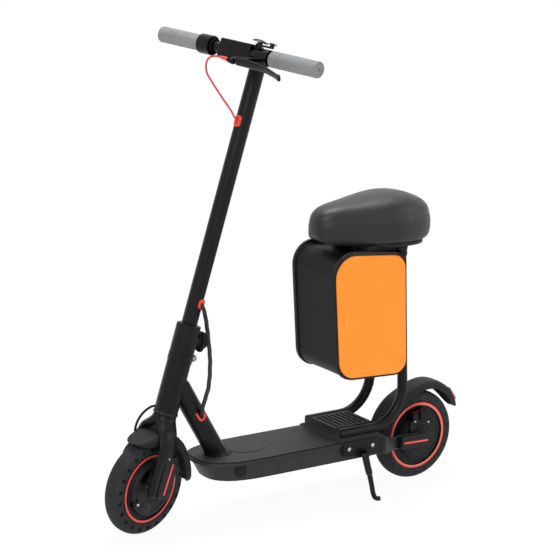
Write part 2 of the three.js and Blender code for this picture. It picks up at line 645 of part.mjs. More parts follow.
function poleHole(place) {
  const points = circlePoints(poleGrommetSize.spigotRadius + gap, sideCount.pin, 0, place.z);
  return placed(plateYZ(points, pole.radius / 2, pole.radius + overrun), poleTurn(place));
}

function poleGrommet(place) {
  const { rise, footDepth, spigotRadius } = poleGrommetSize;
  const { halfWidth, halfHeight, z } = place;
  const oval = roundedPoints(-halfWidth, z - halfHeight, halfWidth, z + halfHeight, halfWidth * 0.95, 3);
  const top = pole.radius + rise;
  const flange = cut(plateYZ(oval, pole.radius - footDepth, top),
    rodZ(pole.radius + gap, z - pole.radius, z + pole.radius, 28));
  const spigot = plateYZ(circlePoints(spigotRadius, sideCount.pin, 0, z), pole.radius - footDepth, top - gap);
  return placed(join(flange, spigot), poleTurn(place));
}

// The lower grommet with the channel that the harness leaves it by.
function stemGrommet() {
  return cut(poleGrommet(lowerGrommet), placed(harnessRoom(), steeredMatrix().invert()));
}

function latchLever() {
  const { front, rear, bottom, top, pivotX, pivotZ, halfWidth } = latch;
  // Outline in shares of the lever's length and height.
  const shares = [[0, 0.84], [0.18, 1], [0.5, 0.96], [0.84, 0.74], [1, 0.5], [0.9, 0.3], [0.7, 0.2], [0.58, 0.04],
    [0.38, 0], [0.33, 0.32], [0, 0.62]];
  const outline = shares.map(([a, b]) => [front + (rear - front) * a, bottom + (top - bottom) * b]);
  const room = latch.lugHalfWidth + gap;
  const slot = boxSolid(front - overrun, pivotX + latch.cheek, -room, room, bottom - overrun, top + overrun);
  const sleeveSpace = rodZ(hinge.sleeveRadius + latch.sleeveRoom, bottom - overrun, top + overrun, 28);
  const pin = moved(rodY(latch.pinRadius, -halfWidth, halfWidth, sideCount.pin), pivotX, 0, pivotZ);
  return join(cut(plateXZ(outline, -halfWidth, halfWidth), slot, sleeveSpace), pin);
}

// Handlebar and cockpit, in the frame of the bar: its axis is Y, -X points forward

function barSolid() {
  return turned(ringProfile(bar.radius - bar.wall, bar.radius, -bar.halfLength, bar.halfLength), 20);
}

function gripSolid(side) {
  const inner = side > 0 ? grip.rightInner : grip.leftInner;
  const bore = bar.radius + gap;
  const profile = [
    [bore, inner], [grip.radius - grip.round, inner], [grip.radius, inner + grip.round],
    [grip.radius, gripEnd - grip.round], [grip.radius - grip.round, gripEnd], [grip.hole, gripEnd],
    [grip.hole, bar.halfLength + gap], [bore, bar.halfLength + gap], [bore, inner],
  ];
  const body = turned(profile, 16);
  return side > 0 ? body : mirrored(body);
}

function throttleCollar() {
  const bore = bar.radius + gap;
  const back = collar.inner + collar.recessDepth;
  return turned([
    [bore, back], [collar.recessRadius, back], [collar.recessRadius, collar.inner],
    [collar.radius - collar.round, collar.inner], [collar.radius, collar.inner + collar.round],
    [collar.radius, collar.outer - collar.round], [collar.radius - collar.round, collar.outer],
    [bore, collar.outer], [bore, back],
  ], sideCount.tube);
}

function throttleLever() {
  const bore = bar.radius + gap;
  const back = collar.inner + collar.recessDepth - gap;
  const outer = collar.inner - gap;
  const ring = turned(ringProfile(bore, thumb.ringRadius, thumb.ringInner, back), 20);
  const half = thumb.paddleThickness / 2;
  const paddle = plateXZ(roundedPoints(bore + thumb.rootStep, -half,
    thumb.ringRadius + thumb.paddleLength - half, half, half - gap, 3), outer - thumb.paddleWidth, outer);
  const barSpace = rodY(bore, outer - thumb.paddleWidth - overrun, outer + overrun, 20);
  return cut(join(ring, paddle), barSpace);
}

function windowBox(margin, depth) {
  return boxSolid(-block.front - overrun, -block.front + depth, -block.halfWidth + margin,
    block.windowRight + block.windowMargin - margin, -block.halfHeight + margin, block.halfHeight - margin);
}

function headBlock() {
  const outline = roundedPoints(-block.front, -block.halfHeight, block.rear, block.halfHeight, block.round, 3);
  const body = plateXZ(outline, -block.halfWidth, block.halfWidth);
  const arm = boxSolid(0, bar.reach, -block.armHalfWidth, block.armHalfWidth, -block.armHalfHeight,
    block.armHalfHeight);
  const socketLow = -block.socketDrop;
  const socket = moved(rodZ(block.socketRadius, socketLow, block.armHalfHeight, 28), bar.reach, 0, 0);
  const poleSpace = moved(rodZ(pole.radius + gap, socketLow - overrun, pole.overBar + gap, 28),
    bar.reach, 0, 0);
  const barSpace = rodY(bar.radius + gap, -block.halfWidth - overrun, block.halfWidth + overrun, 20);
  const well = moved(rodZ(button.radius + gap, block.halfHeight - button.height - button.travel,
    block.halfHeight + overrun, sideCount.rod), button.x, button.y, 0);
  return cut(join(body, arm, socket), poleSpace, barSpace, windowBox(block.windowMargin, block.windowDepth), well);
}

function headWindow() {
  const back = block.windowDepth - gap;
  const front = -block.front + back - block.windowThickness;
  const keep = boxSolid(front, 0, -wheel.radius, wheel.radius, -wheel.radius, wheel.radius);
  return windowBox(block.windowMargin + gap, back).intersect(keep);
}

function powerButton() {
  const bottom = block.halfHeight - button.height + gap;
  return moved(rodZ(button.radius, bottom, block.halfHeight + button.travel, sideCount.rod), button.x, button.y, 0);
}

function bell() {
  const { clampInner, clampOuter, clampRadius, postRadius, postRoot, postHeight, domeRadius, domeHeight } = bellSize;
  const middle = -(clampInner + clampOuter) / 2;
  const clamp = turned(ringProfile(bar.radius + gap, clampRadius, -clampOuter, -clampInner), 20);
  const post = moved(rodZ(postRadius, postRoot, postHeight, sideCount.rod), 0, middle, 0);
  const barSpace = rodY(bar.radius + gap, -clampOuter - overrun, overrun - clampInner, 20);
  const shares = [[0, 0], [0.94, 0.05], [1, 0.15], [0.86, 0.5], [0.55, 0.85], [0, 1]];
  const dome = turned(shares.map(([a, b]) => [domeRadius * a, domeHeight * b]), 16, 'z');
  const tilt = new THREE.Matrix4().makeRotationX(radians(bellSize.tiltDegrees));
  tilt.setPosition(0, middle, postHeight);
  return join(cut(join(clamp, post), barSpace), placed(dome, tilt));
}

function bellLever() {
  const middle = -(bellSize.clampInner + bellSize.clampOuter) / 2;
  const { ringLow, ringThickness, ringRadius, armHalfWidth, armReach, knobRadius, knobTop, knobThickness } = bellSize;
  const high = ringLow + ringThickness;
  const ring = rodZ(ringRadius, ringLow, high, sideCount.rod);
  const arm = boxSolid(-armHalfWidth, armHalfWidth, -armReach, 0, ringLow, high);
  const bore = rodZ(bellSize.postRadius + gap, ringLow - overrun, high + overrun, sideCount.rod);
  const shares = [[0, 0], [1, 0.1], [1, 0.4], [0.6, 0.75], [0.5, 1], [0, 1]];
  const knob = turned(shares.map(([a, b]) => [knobRadius * a, knobTop - knobThickness + knobThickness * b]),
    sideCount.rod, 'z');
  const post = rodZ(bellSize.knobPost, ringLow, knobTop - gap, sideCount.rod);
  const end = moved(join(knob, post), 0, -armReach, 0);
  return moved(join(cut(join(ring, arm), bore), end), 0, middle, 0);
}

// Brake perch and lever, in a frame whose -X points forward and down from the bar

function brakePerch() {
  const clamp = turned(ringProfile(bar.radius + gap, perch.radius, -perch.outer, -perch.inner), sideCount.tube);
  const half = lever.height / 2 - lever.wall - 3 * gap;
  // Outline in shares of the pivot's reach and of the way from the clamp's outer end to the pivot.
  const shares = [[0.39, 0.07], [0.39, 0.42], [0.67, 0.75], [0.86, 1.03], [0.92, 1.18], [0.97, 1.3], [1.29, 1.3],
    [1.29, 1.18], [1.16, 1.16], [1.16, 0.97], [1.08, 0.9], [0.52, 0.12]];
  const arm = plateXY(shares.map(([a, b]) => [
    -perch.pivotReach * a, -perch.outer + (perch.pivotY + perch.outer) * b]), -half, half);
  const barSpace = rodY(bar.radius + gap, -perch.outer - overrun, overrun - perch.inner, sideCount.tube);
  const pinHole = moved(rodZ(perch.pinRadius + gap, -half - overrun, half + overrun, sideCount.pin),
    -perch.pivotReach, perch.pivotY, 0);
  const collarEnd = adjuster.startY + adjuster.collarLength + overrun;
  const barrel = join(rodY(adjuster.radius, adjuster.startY, adjuster.startY + adjuster.length, sideCount.pin),
    rodY(adjuster.collarRadius, adjuster.startY + overrun, collarEnd, sideCount.pin));
  return join(cut(join(clamp, arm), barSpace, pinHole), moved(barrel, -adjuster.reach, 0, 0));
}

// The blade is a channel, open towards the bar, that holds the perch's arm between its flanges.
function brakeLever() {
  // Places along the blade: share of its length, share of its outward swing.
  const bladeShares = [[0, 0], [0.33, 0.03], [0.54, 0.15], [0.65, 0.28], [0.74, 0.43], [0.87, 0.68], [1, 1]];
  const face = -perch.pivotReach - lever.faceReach;
  const curve = smoothCurve(bladeShares.map(([along, out]) => [
    face - lever.swing * out, lever.rootY - lever.length * along, 0]));
  const steps = 10;
  const rings = Array.from({ length: steps + 1 }, (_, i) => {
    const share = i / steps;
    const centre = curve.getPoint(share);
    const along = curve.getTangent(share);
    const inward = new THREE.Vector3(Math.abs(along.y), -along.x * Math.sign(along.y), 0).normalize();
    const half = (lever.height + (lever.tipHeight - lever.height) * share) / 2;
    const deep = lever.flange + (lever.tipFlange - lever.flange) * share;
    const web = lever.wall / deep;
    const section = [[0, -half * 0.7], [web * 0.7, -half], [1, -half], [1, -half + lever.wall],
      [web, -half + lever.wall], [web, half - lever.wall], [1, half - lever.wall], [1, half], [web * 0.7, half],
      [0, half * 0.7]];
    return section.map(([inShare, z]) => centre.clone().addScaledVector(inward, inShare * deep)
      .add(new THREE.Vector3(0, 0, z)));
  });
  const pinHalf = lever.height / 2 - lever.pinInset;
  const pin = moved(rodZ(perch.pinRadius, -pinHalf, pinHalf, sideCount.pin), -perch.pivotReach, perch.pivotY, 0);
  const tip = curve.getPoint(1);
  const r = lever.tipRadius;
  const ball = moved(turned([[0, -r], [r * 0.7, -r * 0.7], [r, 0], [r * 0.7, r * 0.7], [0, r]], sideCount.pin, 'z'),
    tip.x + r * 0.75, tip.y, 0);
  return join(loft(rings), pin, ball);
}

function brakeCableSolid() {
  const drop = radians(perch.dropDegrees);
  const start = new THREE.Vector3(-bar.reach - adjuster.reach * Math.cos(drop),
    adjuster.startY + adjuster.length + gap, bar.height - adjuster.reach * Math.sin(drop));
  const points = [...brakeCableRoute.map(([x, y, z]) => [x, y, bar.height + z]),
    [-pole.radius - gap, 0, upperGrommet.z]];
  const first = start.clone().add(new THREE.Vector3(0, brakeCableSize.bootRoot, 0));
  const cable = pipe(smoothCurve([first.toArray(), ...points]), brakeCableSize.radius, 6, 26);
  const boot = moved(rodY(brakeCableSize.bootRadius, 0, brakeCableSize.bootLength, sideCount.cord), ...start.toArray());
  return join(cable, boot, poleGrommet(upperGrommet));
}

// Deck

function deckRing(z, halfWidth, nose, rear) {
  const steps = 16;
  const base = nose + deck.noseLength;
  const power = 2 / deck.noseExponent;
  const corner = halfWidth * deck.cornerShare;
  const ring = [new THREE.Vector3(rear - corner, -halfWidth, z)];
  for (let i = 0; i <= steps; i += 1) {
    const angle = Math.PI * (i / steps - 0.5);
    const [c, s] = [Math.cos(angle), Math.sin(angle)];
    ring.push(new THREE.Vector3(
      base - deck.noseLength * Math.abs(c) ** power, halfWidth * Math.sign(s) * Math.abs(s) ** power, z));
  }
  ring.push(new THREE.Vector3(rear - corner, halfWidth, z));
  ring.push(new THREE.Vector3(rear, halfWidth - corner, z), new THREE.Vector3(rear, -halfWidth + corner, z));
  return ring;
}

// The deck's outer form, or the same form spread a little for a part that lies against it.
function deckForm(spread) {
  const lower = deck.halfWidth - deck.lowerStep + spread;
  const lowerNose = deck.nose + deck.lowerNoseStep - spread;
  const upper = deck.halfWidth - deck.rimStep + spread;
  const upperNose = deck.nose + deck.noseStep - spread;
  const [half, nose, rear] = [deck.halfWidth + spread, deck.nose - spread, deck.rear + spread];
  const round = deck.edgeRound;
  return loft([
    deckRing(deck.bottom - spread, lower, lowerNose, rear),
    deckRing(deck.rimBottom - round, upper, upperNose, rear),
    deckRing(deck.rimBottom, half - round, nose + round, rear),
    deckRing(deck.rimBottom + round, half, nose, rear),
    deckRing(deck.top - round, half, nose, rear),
    deckRing(deck.top + spread, half - round, nose + round, rear),
  ]);
}

function deckShell() {
  const inset = deck.wall;
  const lower = deck.halfWidth - deck.lowerStep - inset;
  const upper = deck.halfWidth - deck.rimStep - inset;
  const hollow = loft([
    deckRing(deck.bottom - overrun, lower, deck.nose + deck.lowerNoseStep + inset, deck.rear - inset),
    deckRing(deck.top - deck.roof, upper, deck.nose + deck.noseStep + inset, deck.rear - inset),
  ]);
  const portHouse = placed(plateYZ(circlePoints(capSize.portRadius + capSize.portWall, 16),
    -capSize.portDepth - capSize.portWall, -deck.wall / 2), capMatrix());
  const port = placed(plateYZ(circlePoints(capSize.portRadius, 16), -capSize.portDepth, overrun), capMatrix());
  const capSeat = placed(plateYZ(circlePoints(capSize.radius + gap, 16), -capSize.sink - gap, overrun), capMatrix());
  const contact = placed(plateYZ(circlePoints(capSize.pinRadius, 6), -capSize.portDepth - capSize.portWall / 2,
    -capSize.portDepth + capSize.pinLength - gap), capMatrix());
  return join(cut(join(cut(deckForm(0), hollow), portHouse), port, capSeat), contact);
}

function coverPlateSolid() {
  const halfWidth = deck.halfWidth - deck.lowerStep - coverPlate.inset;
  const nose = deck.nose + deck.lowerNoseStep + coverPlate.inset;
  const top = deck.bottom - gap;
  const bottom = top - coverPlate.thickness;
  const rear = deck.rear - coverPlate.inset;
  const round = deck.edgeRound;
  return loft([
    deckRing(bottom, halfWidth - round, nose + round, rear - round),
    deckRing(bottom + round, halfWidth, nose, rear),
    deckRing(top, halfWidth, nose, rear),
  ]);
}

function battery() {
  const low = deck.bottom;
  const points = roundedPoints(batterySize.front, -batterySize.halfWidth, batterySize.rear, batterySize.halfWidth,
    batterySize.round, 3);
  return plateXY(points, low, low + batterySize.height);
}

function controller() {
  const { front, rear, halfWidth, height, fins, finWidth, finDepth } = controllerSize;
  const low = deck.bottom;
  const body = boxSolid(front, rear, -halfWidth, halfWidth, low, low + height);
  const pitch = 2 * halfWidth / fins;
  const grooves = Array.from({ length: fins - 1 }, (_, i) => {
    const y = -halfWidth + pitch * (i + 1);
    return boxSolid(front - overrun, rear + overrun, y - finWidth / 2, y + finWidth / 2, low + height - finDepth,
      low + height + overrun);
  });
  return cut(body, join(...grooves));
}

function downTubeX(z) {
  return downTube.footX - downTube.slope * (z - deck.top);
}

function tubeHalfX() {
  return downTube.radius * Math.sqrt(1 + downTube.slope ** 2);
}

function deckMat() {
  const low = matZ;
  const high = low + mat.thickness;
  const outline = deckRing(low, deck.halfWidth - mat.inset, deck.nose + mat.inset, mat.rear);
  const body = plateXY(outline.map((point) => [point.x, point.y]), low, high);
  const badge = plateXY(circlePoints(1, 24).map(([x, y]) => [
    mat.badgeX + mat.badgeHalfLength * x, mat.badgeHalfWidth * y]), low, high + mat.badgeRise);
  const spread = downTube.weldSpread + gap;
  const footRoom = loft([low - overrun, high + overrun].map((z) => ellipseRing(
    tubeHalfX() + spread, downTube.radius + spread, z, 20, downTubeX(low))));
  return cut(join(body, badge), footRoom);
}

function frameNeck() {
  const low = matZ;
  const row = (z, spread) => ellipseRing(tubeHalfX() + spread, downTube.radius + spread, z, 20, downTubeX(z));
  const axisX = steerOrigin.x + (downTube.capZ - steerOrigin.z) * Math.tan(rake);
  const tube = loft([
    row(low, downTube.weldSpread), row(low + downTube.weldStep, downTube.weldSpread * 0.8),
    row(low + downTube.weldHeight / 2, downTube.weldSpread * 0.3), row(low + downTube.weldHeight, 0),
    row(downTube.topZ, 0), ellipseRing(head.radius * 0.7, head.radius * 0.7, downTube.capZ, 20, axisX),
  ]);
  const along = (radius, from, to) => placed(rodZ(radius, from, to, sideCount.tube), rakeMatrix());
  const body = join(along(head.radius, head.bottom, head.top), tube);
  return cut(body, along(head.bore, head.bottom - overrun, head.top + overrun),
    along(head.seatRadius, head.bottom - overrun, head.bottom + head.seatDepth),
    along(head.seatRadius, head.top - head.seatDepth, head.top + overrun), neckGrommetRoom());
}

// The down tube's grommet: its outward way, its side and the tube's way, with the place on the tube.
function neckGrommetFrame() {
  const slant = Math.atan(downTube.slope);
  const up = new THREE.Vector3(-Math.sin(slant), 0, Math.cos(slant));
  const back = new THREE.Vector3(Math.cos(slant), 0, Math.sin(slant));
  const angle = radians(neckGrommetSize.angleDegrees);
  const out = back.multiplyScalar(Math.cos(angle)).add(new THREE.Vector3(0, -Math.sin(angle), 0));
  const middle = new THREE.Vector3(downTubeX(neckGrommetSize.alongZ), 0, neckGrommetSize.alongZ);
  const side = new THREE.Vector3().crossVectors(up, out);
  return new THREE.Matrix4().makeBasis(out, side, up).setPosition(middle.addScaledVector(out, downTube.radius));
}

function neckGrommetOutline(spread) {
  const half = [neckGrommetSize.halfWidth + spread, neckGrommetSize.halfLength + spread];
  return roundedPoints(-half[0], -half[1], half[0], half[1], half[0] * 0.9, 3);
}

function neckGrommetRoom() {
  const depth = neckGrommetSize.sink + gap;
  return placed(plateYZ(neckGrommetOutline(gap), -depth, depth), neckGrommetFrame());
}

function neckGrommet() {
  const body = plateYZ(neckGrommetOutline(0), -neckGrommetSize.sink, neckGrommetSize.rise);
  return cut(placed(body, neckGrommetFrame()), harnessRoom());
}

// Charge port: its place on the side of the deck and the way that it faces.
function capMatrix() {
  const tilt = Math.atan2(deck.lowerStep - deck.rimStep, deck.rimBottom - deck.bottom);
  const share = (capSize.z - deck.bottom) / (deck.rimBottom - deck.bottom);
  const halfWidth = deck.halfWidth - deck.lowerStep + (deck.lowerStep - deck.rimStep) * share;
  const nose = deck.nose + deck.lowerNoseStep + (deck.noseStep - deck.lowerNoseStep) * share;
  const along = (nose + deck.noseLength - capSize.x) / deck.noseLength;
  const y = -halfWidth * (1 - along ** deck.noseExponent) ** (1 / deck.noseExponent);
  const slope = (halfWidth / deck.noseLength) * (along / Math.abs(y / halfWidth)) ** (deck.noseExponent - 1);
  const out = new THREE.Vector3(-slope, -1, -Math.tan(tilt)).normalize();
  const side = new THREE.Vector3().crossVectors(new THREE.Vector3(0, 0, 1), out).normalize();
  const up = new THREE.Vector3().crossVectors(out, side);
  return new THREE.Matrix4().makeBasis(out, side, up).setPosition(capSize.x, y, capSize.z);
}

function chargeCap() {
  const plate = plateYZ(circlePoints(capSize.radius, 20), -capSize.sink, -capSize.sink + capSize.thickness);
  const plug = plateYZ(circlePoints(capSize.plugRadius, 16), -capSize.plugLength, 0);
  return placed(join(plate, plug), capMatrix());
}

// Rear stays, axle covers, fender and brake

// One sheet: flat beside the deck, drawn in behind it and flat again at the wheel, with a filler to the deck.
function stayPlate(side) {
  const [axleX, axleZ] = [wheel.rearX, wheel.radius];
  const outline = [
    [stay.front, stay.plateBottom], [stay.plateRear, stay.plateBottom], [stay.armBend, stay.armBottom],
    [stay.narrowX, stay.narrowBottom], ...arcPoints(stay.endRadius, -tau / 4, tau / 4, 8, axleX, axleZ),
    [stay.narrowX, stay.narrowTop], [stay.armBend, stay.armTop], [stay.plateRear, stay.plateTop],
    [stay.front, stay.plateTop],
  ];
  const inner = stayOuter - stay.thickness;
  const axleInner = stay.axleOuter - stay.thickness;
  const reach = axleX + wheel.radius;
  const strip = plateXY([
    [stay.front - overrun, inner], [stay.armBend, inner], [stay.narrowX, axleInner], [reach, axleInner],
    [reach, stay.axleOuter], [stay.narrowX, stay.axleOuter], [stay.armBend + stay.thickness / 2, stayOuter],
    [stay.front - overrun, stayOuter],
  ], 0, wheel.radius * 2);
  const sheet = plateXZ(outline, axleInner - overrun, stayOuter + overrun).intersect(strip);
  const axleHole = moved(rodY(axle.radius + gap, 0, wheel.radius, sideCount.rod), axleX, 0, axleZ);
  const filler = cut(boxSolid(stay.front, stay.plateRear, deck.halfWidth - 2 * deck.lowerStep, stayOuter - gap,
    stay.plateBottom, stay.plateTop), deckForm(gap));
  const body = join(cut(sheet, axleHole), filler);
  return side > 0 ? body : mirrored(body);
}

function stayCover(side) {
  const low = stay.axleOuter + gap;
  const high = low + stayCoverSize.thickness;
  const half = stayCoverSize.halfHeight;
  const [axleX, axleZ] = [wheel.rearX, wheel.radius];
  const outline = [[stayCoverSize.front, axleZ - half * 0.8],
    ...arcPoints(half, -tau / 4, tau / 4, 8, axleX, axleZ), [stayCoverSize.front, axleZ + half * 0.95]];
  const room = moved(rodY(axle.nutRadius + 2 * gap, low - overrun, high - stayCoverSize.wall, sideCount.rod),
    axleX, 0, axleZ);
  const stripLow = axleZ + stayCoverSize.stripLift;
  const strip = plateXZ(roundedPoints(stayCoverSize.stripFront, stripLow, stayCoverSize.stripRear,
    stripLow + stayCoverSize.stripWidth, stayCoverSize.stripWidth * 0.45, 2), high - gap,
  high + stayCoverSize.stripHeight);
  const body = join(cut(plateXZ(outline, low, high), room), strip);
  return side > 0 ? body : mirrored(body);
}

function rearFenderRadius(share) {
  return rearFenderLow + (rearFenderHigh - rearFenderLow) * smoothShare(share, 0.36, 0.74);
}

function rearFender() {
  const body = moved(fenderSolid(rearFenderSize, rearFenderSize.halfWidth, rearFenderRadius,
    (share) => endTaper(share, 0.02, 0.26, 0.9, 0.35)), ...rearWheelShift);
  const { tongueHalfWidth, tongueBottom, tongueTop, thickness } = rearFenderSize;
  const rise = tongueTop - wheel.radius;
  const tongueEnd = wheel.rearX - Math.sqrt((rearFenderLow - thickness / 2) ** 2 - rise ** 2);
  const tongue = boxSolid(deck.rear + gap, tongueEnd, -tongueHalfWidth, tongueHalfWidth, tongueBottom, tongueTop);
  return join(body, tongue);
}

function tailLight() {
  const angle = radians(tailSize.angleDegrees);
  const share = (rearFenderSize.startDegrees - tailSize.angleDegrees)
    / (rearFenderSize.startDegrees - rearFenderSize.endDegrees);
  const radius = rearFenderRadius(share);
  const shares = [[-1, 0], [1, 0], [0.9, 0.7], [0.55, 1], [-0.6, 0.8], [-0.95, 0.35]];
  const outline = shares.map(([a, b]) => [tailSize.height * (b - 0.3), tailSize.halfLength * a]);
  const frame = new THREE.Matrix4().makeRotationY(-angle).setPosition(
    wheel.rearX + radius * Math.cos(angle), 0, wheel.radius + radius * Math.sin(angle));
  const body = placed(plateXZ(outline, -tailSize.halfWidth, tailSize.halfWidth), frame);
  const fenderSpace = moved(rodY(radius + 2 * gap, -wheel.radius, wheel.radius, 2 * sideCount.wheel),
    ...rearWheelShift);
  return cut(body, fenderSpace);
}

// The brake's frame: its X runs along the disc's edge, its Z points away from the axle.
function caliperMatrix() {
  const angle = radians(caliperSize.angleDegrees);
  return new THREE.Matrix4().makeRotationY(tau / 4 - angle).setPosition(wheel.rearX, 0, wheel.radius);
}

function caliper() {
  const { innerRadius, outerRadius, halfLength, inner, slot, slotRadius, round } = caliperSize;
  const outer = stay.axleOuter - stay.thickness - gap;
  const outline = roundedPoints(-halfLength, innerRadius, halfLength, outerRadius, round, 3);
  const body = placed(plateXZ(outline, -outer, -inner), caliperMatrix());
  const discRoom = moved(rodY(slotRadius, disc.y - slot / 2, disc.y + slot / 2, sideCount.wheel), ...rearWheelShift);
  const drumRoom = moved(rodY(rearHub.caseRadius + caliperSize.drumRoom, disc.y, 0, sideCount.wheel),
    ...rearWheelShift);
  const lug = boxSolid(caliperSize.lugFront, caliperSize.lugRear, -outer, -outer + caliperSize.lugThickness,
    caliperSize.lugBottom, wheel.radius + innerRadius + round * 2);
  return join(cut(body, discRoom, drumRoom), lug);
}

// The arm stands on the caliper's outer cheek, above the stay.
function caliperArm() {
  const outer = stay.axleOuter - stay.thickness;
  const { pivotRadius, halfWidth, length, thickness } = armSize;
  const outline = [...arcPoints(halfWidth, Math.PI, tau, 6, 0, pivotRadius),
    [halfWidth * 0.6, pivotRadius + length], [-halfWidth * 0.6, pivotRadius + length]];
  return placed(plateXZ(outline, -outer - thickness, -outer), caliperMatrix());
}

// Seat kit

// The tube's middle line in side view: level, then a bend, then the leaning post.
class SeatPath extends THREE.Curve {
  // The level part and the post take one step each, and the bend takes all the others.
  constructor(bendSteps) {
    super();
    this.bendSteps = bendSteps;
  }

  getUtoTmapping(share) {
    return share;
  }

  getPoint(share) {
    const place = share * (this.bendSteps + 2);
    const bendZ = seatTube.lowZ + seatTube.bendRadius;
    if (place <= 1) {
      return new THREE.Vector3(seatTube.front + (seatTube.bendX - seatTube.front) * place, 0, seatTube.lowZ);
    }
    if (place <= this.bendSteps + 1) {
      const angle = (tau / 4 + lean) * (place - 1) / this.bendSteps - tau / 4;
      return new THREE.Vector3(seatTube.bendX + seatTube.bendRadius * Math.cos(angle), 0,
        bendZ + seatTube.bendRadius * Math.sin(angle));
    }
    const rest = (place - 1 - this.bendSteps) * postLength;
    return new THREE.Vector3(postBase.x - rest * Math.sin(lean), 0, postBase.z + rest * Math.cos(lean));
  }
}

function seatPipe(side, radius) {
  const bendSteps = 10;
  const body = pipe(new SeatPath(bendSteps), radius, sideCount.post, bendSteps + 2);
  return moved(body, 0, side * seatTube.y, 0);
}

function footRest() {
  const low = matZ;
  const { front, rear, top, baseTop, baseHalfWidth, slope, innerHalfWidth, slots, slotWidth, slotDepth } = foot;
  const ring = (z, share) => {
    const half = baseHalfWidth - slope * share;
    return roundedPoints(front + slope * share, -half, rear - slope * share / 2, half, slope, 2)
      .map(([x, y]) => new THREE.Vector3(x, y, z));
  };
  const base = loft([ring(low, 0), ring(low + foot.skirt, 0.2), ring(baseTop, 1)]);
  const [first, last] = [front + slope, rear - slope];
  const upper = boxSolid(first, last, -innerHalfWidth, innerHalfWidth, baseTop - overrun, top);
  const lip = boxSolid(first, first + slope, -baseHalfWidth + slope, baseHalfWidth - slope,
    baseTop - overrun, top - foot.lipDrop);
  const pitch = (last - first - 2 * slope) / slots;
  const slotBoxes = Array.from({ length: slots }, (_, i) => {
    const x = first + slope + pitch * (i + 0.5);
    return boxSolid(x - slotWidth / 2, x + slotWidth / 2, -innerHalfWidth + slope, innerHalfWidth - slope,
      top - slotDepth, top + overrun);
  });
  return cut(join(base, upper, lip), join(...slotBoxes), seatPipe(1, seatTube.radius + gap),
    seatPipe(-1, seatTube.radius + gap));
}

// The leaning frame of the posts: its Z runs up along them.
function postMatrix() {
  return new THREE.Matrix4().makeRotationY(-lean).setPosition(postBase);
}

function seatBridge() {
  const { front, rear, halfWidth, thickness, clampRadius, clampHeight, round } = bridgeSize;
  const topX = postBase.x - postLength * Math.sin(lean);
  const plate = plateXY(roundedPoints(topX + front, -halfWidth, topX + rear, halfWidth, round, 3),
    bridgeLow, bridgeTop);
  const socket = (side) => {
    const ring = rodZ(clampRadius, postLength - clampHeight, postLength + thickness, sideCount.post);
    return placed(moved(ring, 0, side * seatTube.y, 0), postMatrix());
  };
  const roof = boxSolid(topX - wheel.radius, topX + wheel.radius, -wheel.radius, wheel.radius, bridgeTop,
    bridgeTop + wheel.radius);
  return cut(join(plate, socket(1), socket(-1)), roof, seatPipe(1, seatTube.radius + gap),
    seatPipe(-1, seatTube.radius + gap));
}

function saddleWidth(share) {
  const blend = 0.5 - 0.5 * Math.cos(Math.PI * Math.min(1, Math.max(0, (share - 0.12) / 0.6)));
  return saddle.noseHalfWidth + (saddle.rearHalfWidth - saddle.noseHalfWidth) * blend;
}

// The cushion: rings across the saddle, blunt at both ends, crowned above and drawn in below.
function saddleCushion() {
  const length = saddle.rear - saddle.front;
  const blunt = (offset, power) => (1 - Math.abs(offset) ** power) ** (1 / power);
  const rings = Array.from({ length: saddle.rings + 1 }, (_, i) => {
    const offset = -Math.cos(Math.PI * (saddle.endShare + (1 - 2 * saddle.endShare) * i / saddle.rings));
    const share = 0.5 + 0.5 * offset;
    const halfWidth = saddleWidth(share) * blunt(offset, 2.9);
    const crest = saddle.noseCrest + (1 - saddle.noseCrest) * smoothShare(share, 0.2, 0.7)
      - saddle.rearCrest * smoothShare(share, 0.72, 1);
    const rise = (saddle.top - saddle.side) * crest * blunt(offset, 4);
    const drop = (saddle.side - saddle.bottom) * blunt(offset, 4);
    return Array.from({ length: saddle.sides }, (_, j) => {
      const turn = tau * j / saddle.sides;
      const [c, s] = [Math.cos(turn), Math.sin(turn)];
      const y = halfWidth * Math.sign(c) * Math.abs(c) ** 0.66;
      const z = s > 0 ? rise * s ** 0.86 : -drop * Math.abs(s) ** 0.6;
      return new THREE.Vector3(saddle.front + length * share, y, saddle.side + z);
    });
  });
  return loft(rings);
}

function saddlePan() {
  const top = saddle.bottom - gap;
  const ring = (z, inset) => Array.from({ length: 24 }, (_, j) => {
    const angle = tau * j / 24;
    const share = 0.5 + 0.5 * Math.cos(angle);
    const half = pan.halfWidth * (pan.noseShare + (1 - pan.noseShare) * share) - inset;
    const length = (pan.rear - pan.front) / 2 - inset;
    return new THREE.Vector3((pan.front + pan.rear) / 2 + length * Math.cos(angle), half * Math.sin(angle), z);
  });
  return loft([ring(top - pan.height, pan.flange), ring(top - pan.height / 2, pan.flange * 0.3), ring(top, 0)]);
}

// Bag: a leaning box with round corners in side view, with a stiff padded panel on each side.

function bagOutline(inset, rearX, draw = 0) {
  const corners = [[bag.frontTop, bag.topFront, bag.frontRound],
    [bag.frontBottom + draw, bag.bottomFront, bag.frontRound],
    [bag.rear, bag.rearBottom, bag.rearRound], [bag.rear, bag.rearTop, bag.rearRound]];
  const places = corners.map(([x, z]) => new THREE.Vector2(x, z));
  return corners.flatMap(([, , round], i) => {
    const back = places[(i + 3) % 4].clone().sub(places[i]).normalize();
    const ahead = places[(i + 1) % 4].clone().sub(places[i]).normalize();
    const spread = Math.sin(Math.acos(back.dot(ahead)));
    const inward = back.clone().add(ahead).divideScalar(spread);
    const centre = places[i].clone().addScaledVector(inward, round);
    const from = Math.atan2(back.x, -back.y);
    const to = Math.atan2(-ahead.x, ahead.y);
    const sweep = ((to - from) % tau + tau) % tau;
    return arcPoints(round - inset, from, from + sweep, 6, centre.x, centre.y)
      .map(([x, z]) => [Math.min(x, rearX), z]);
  });
}

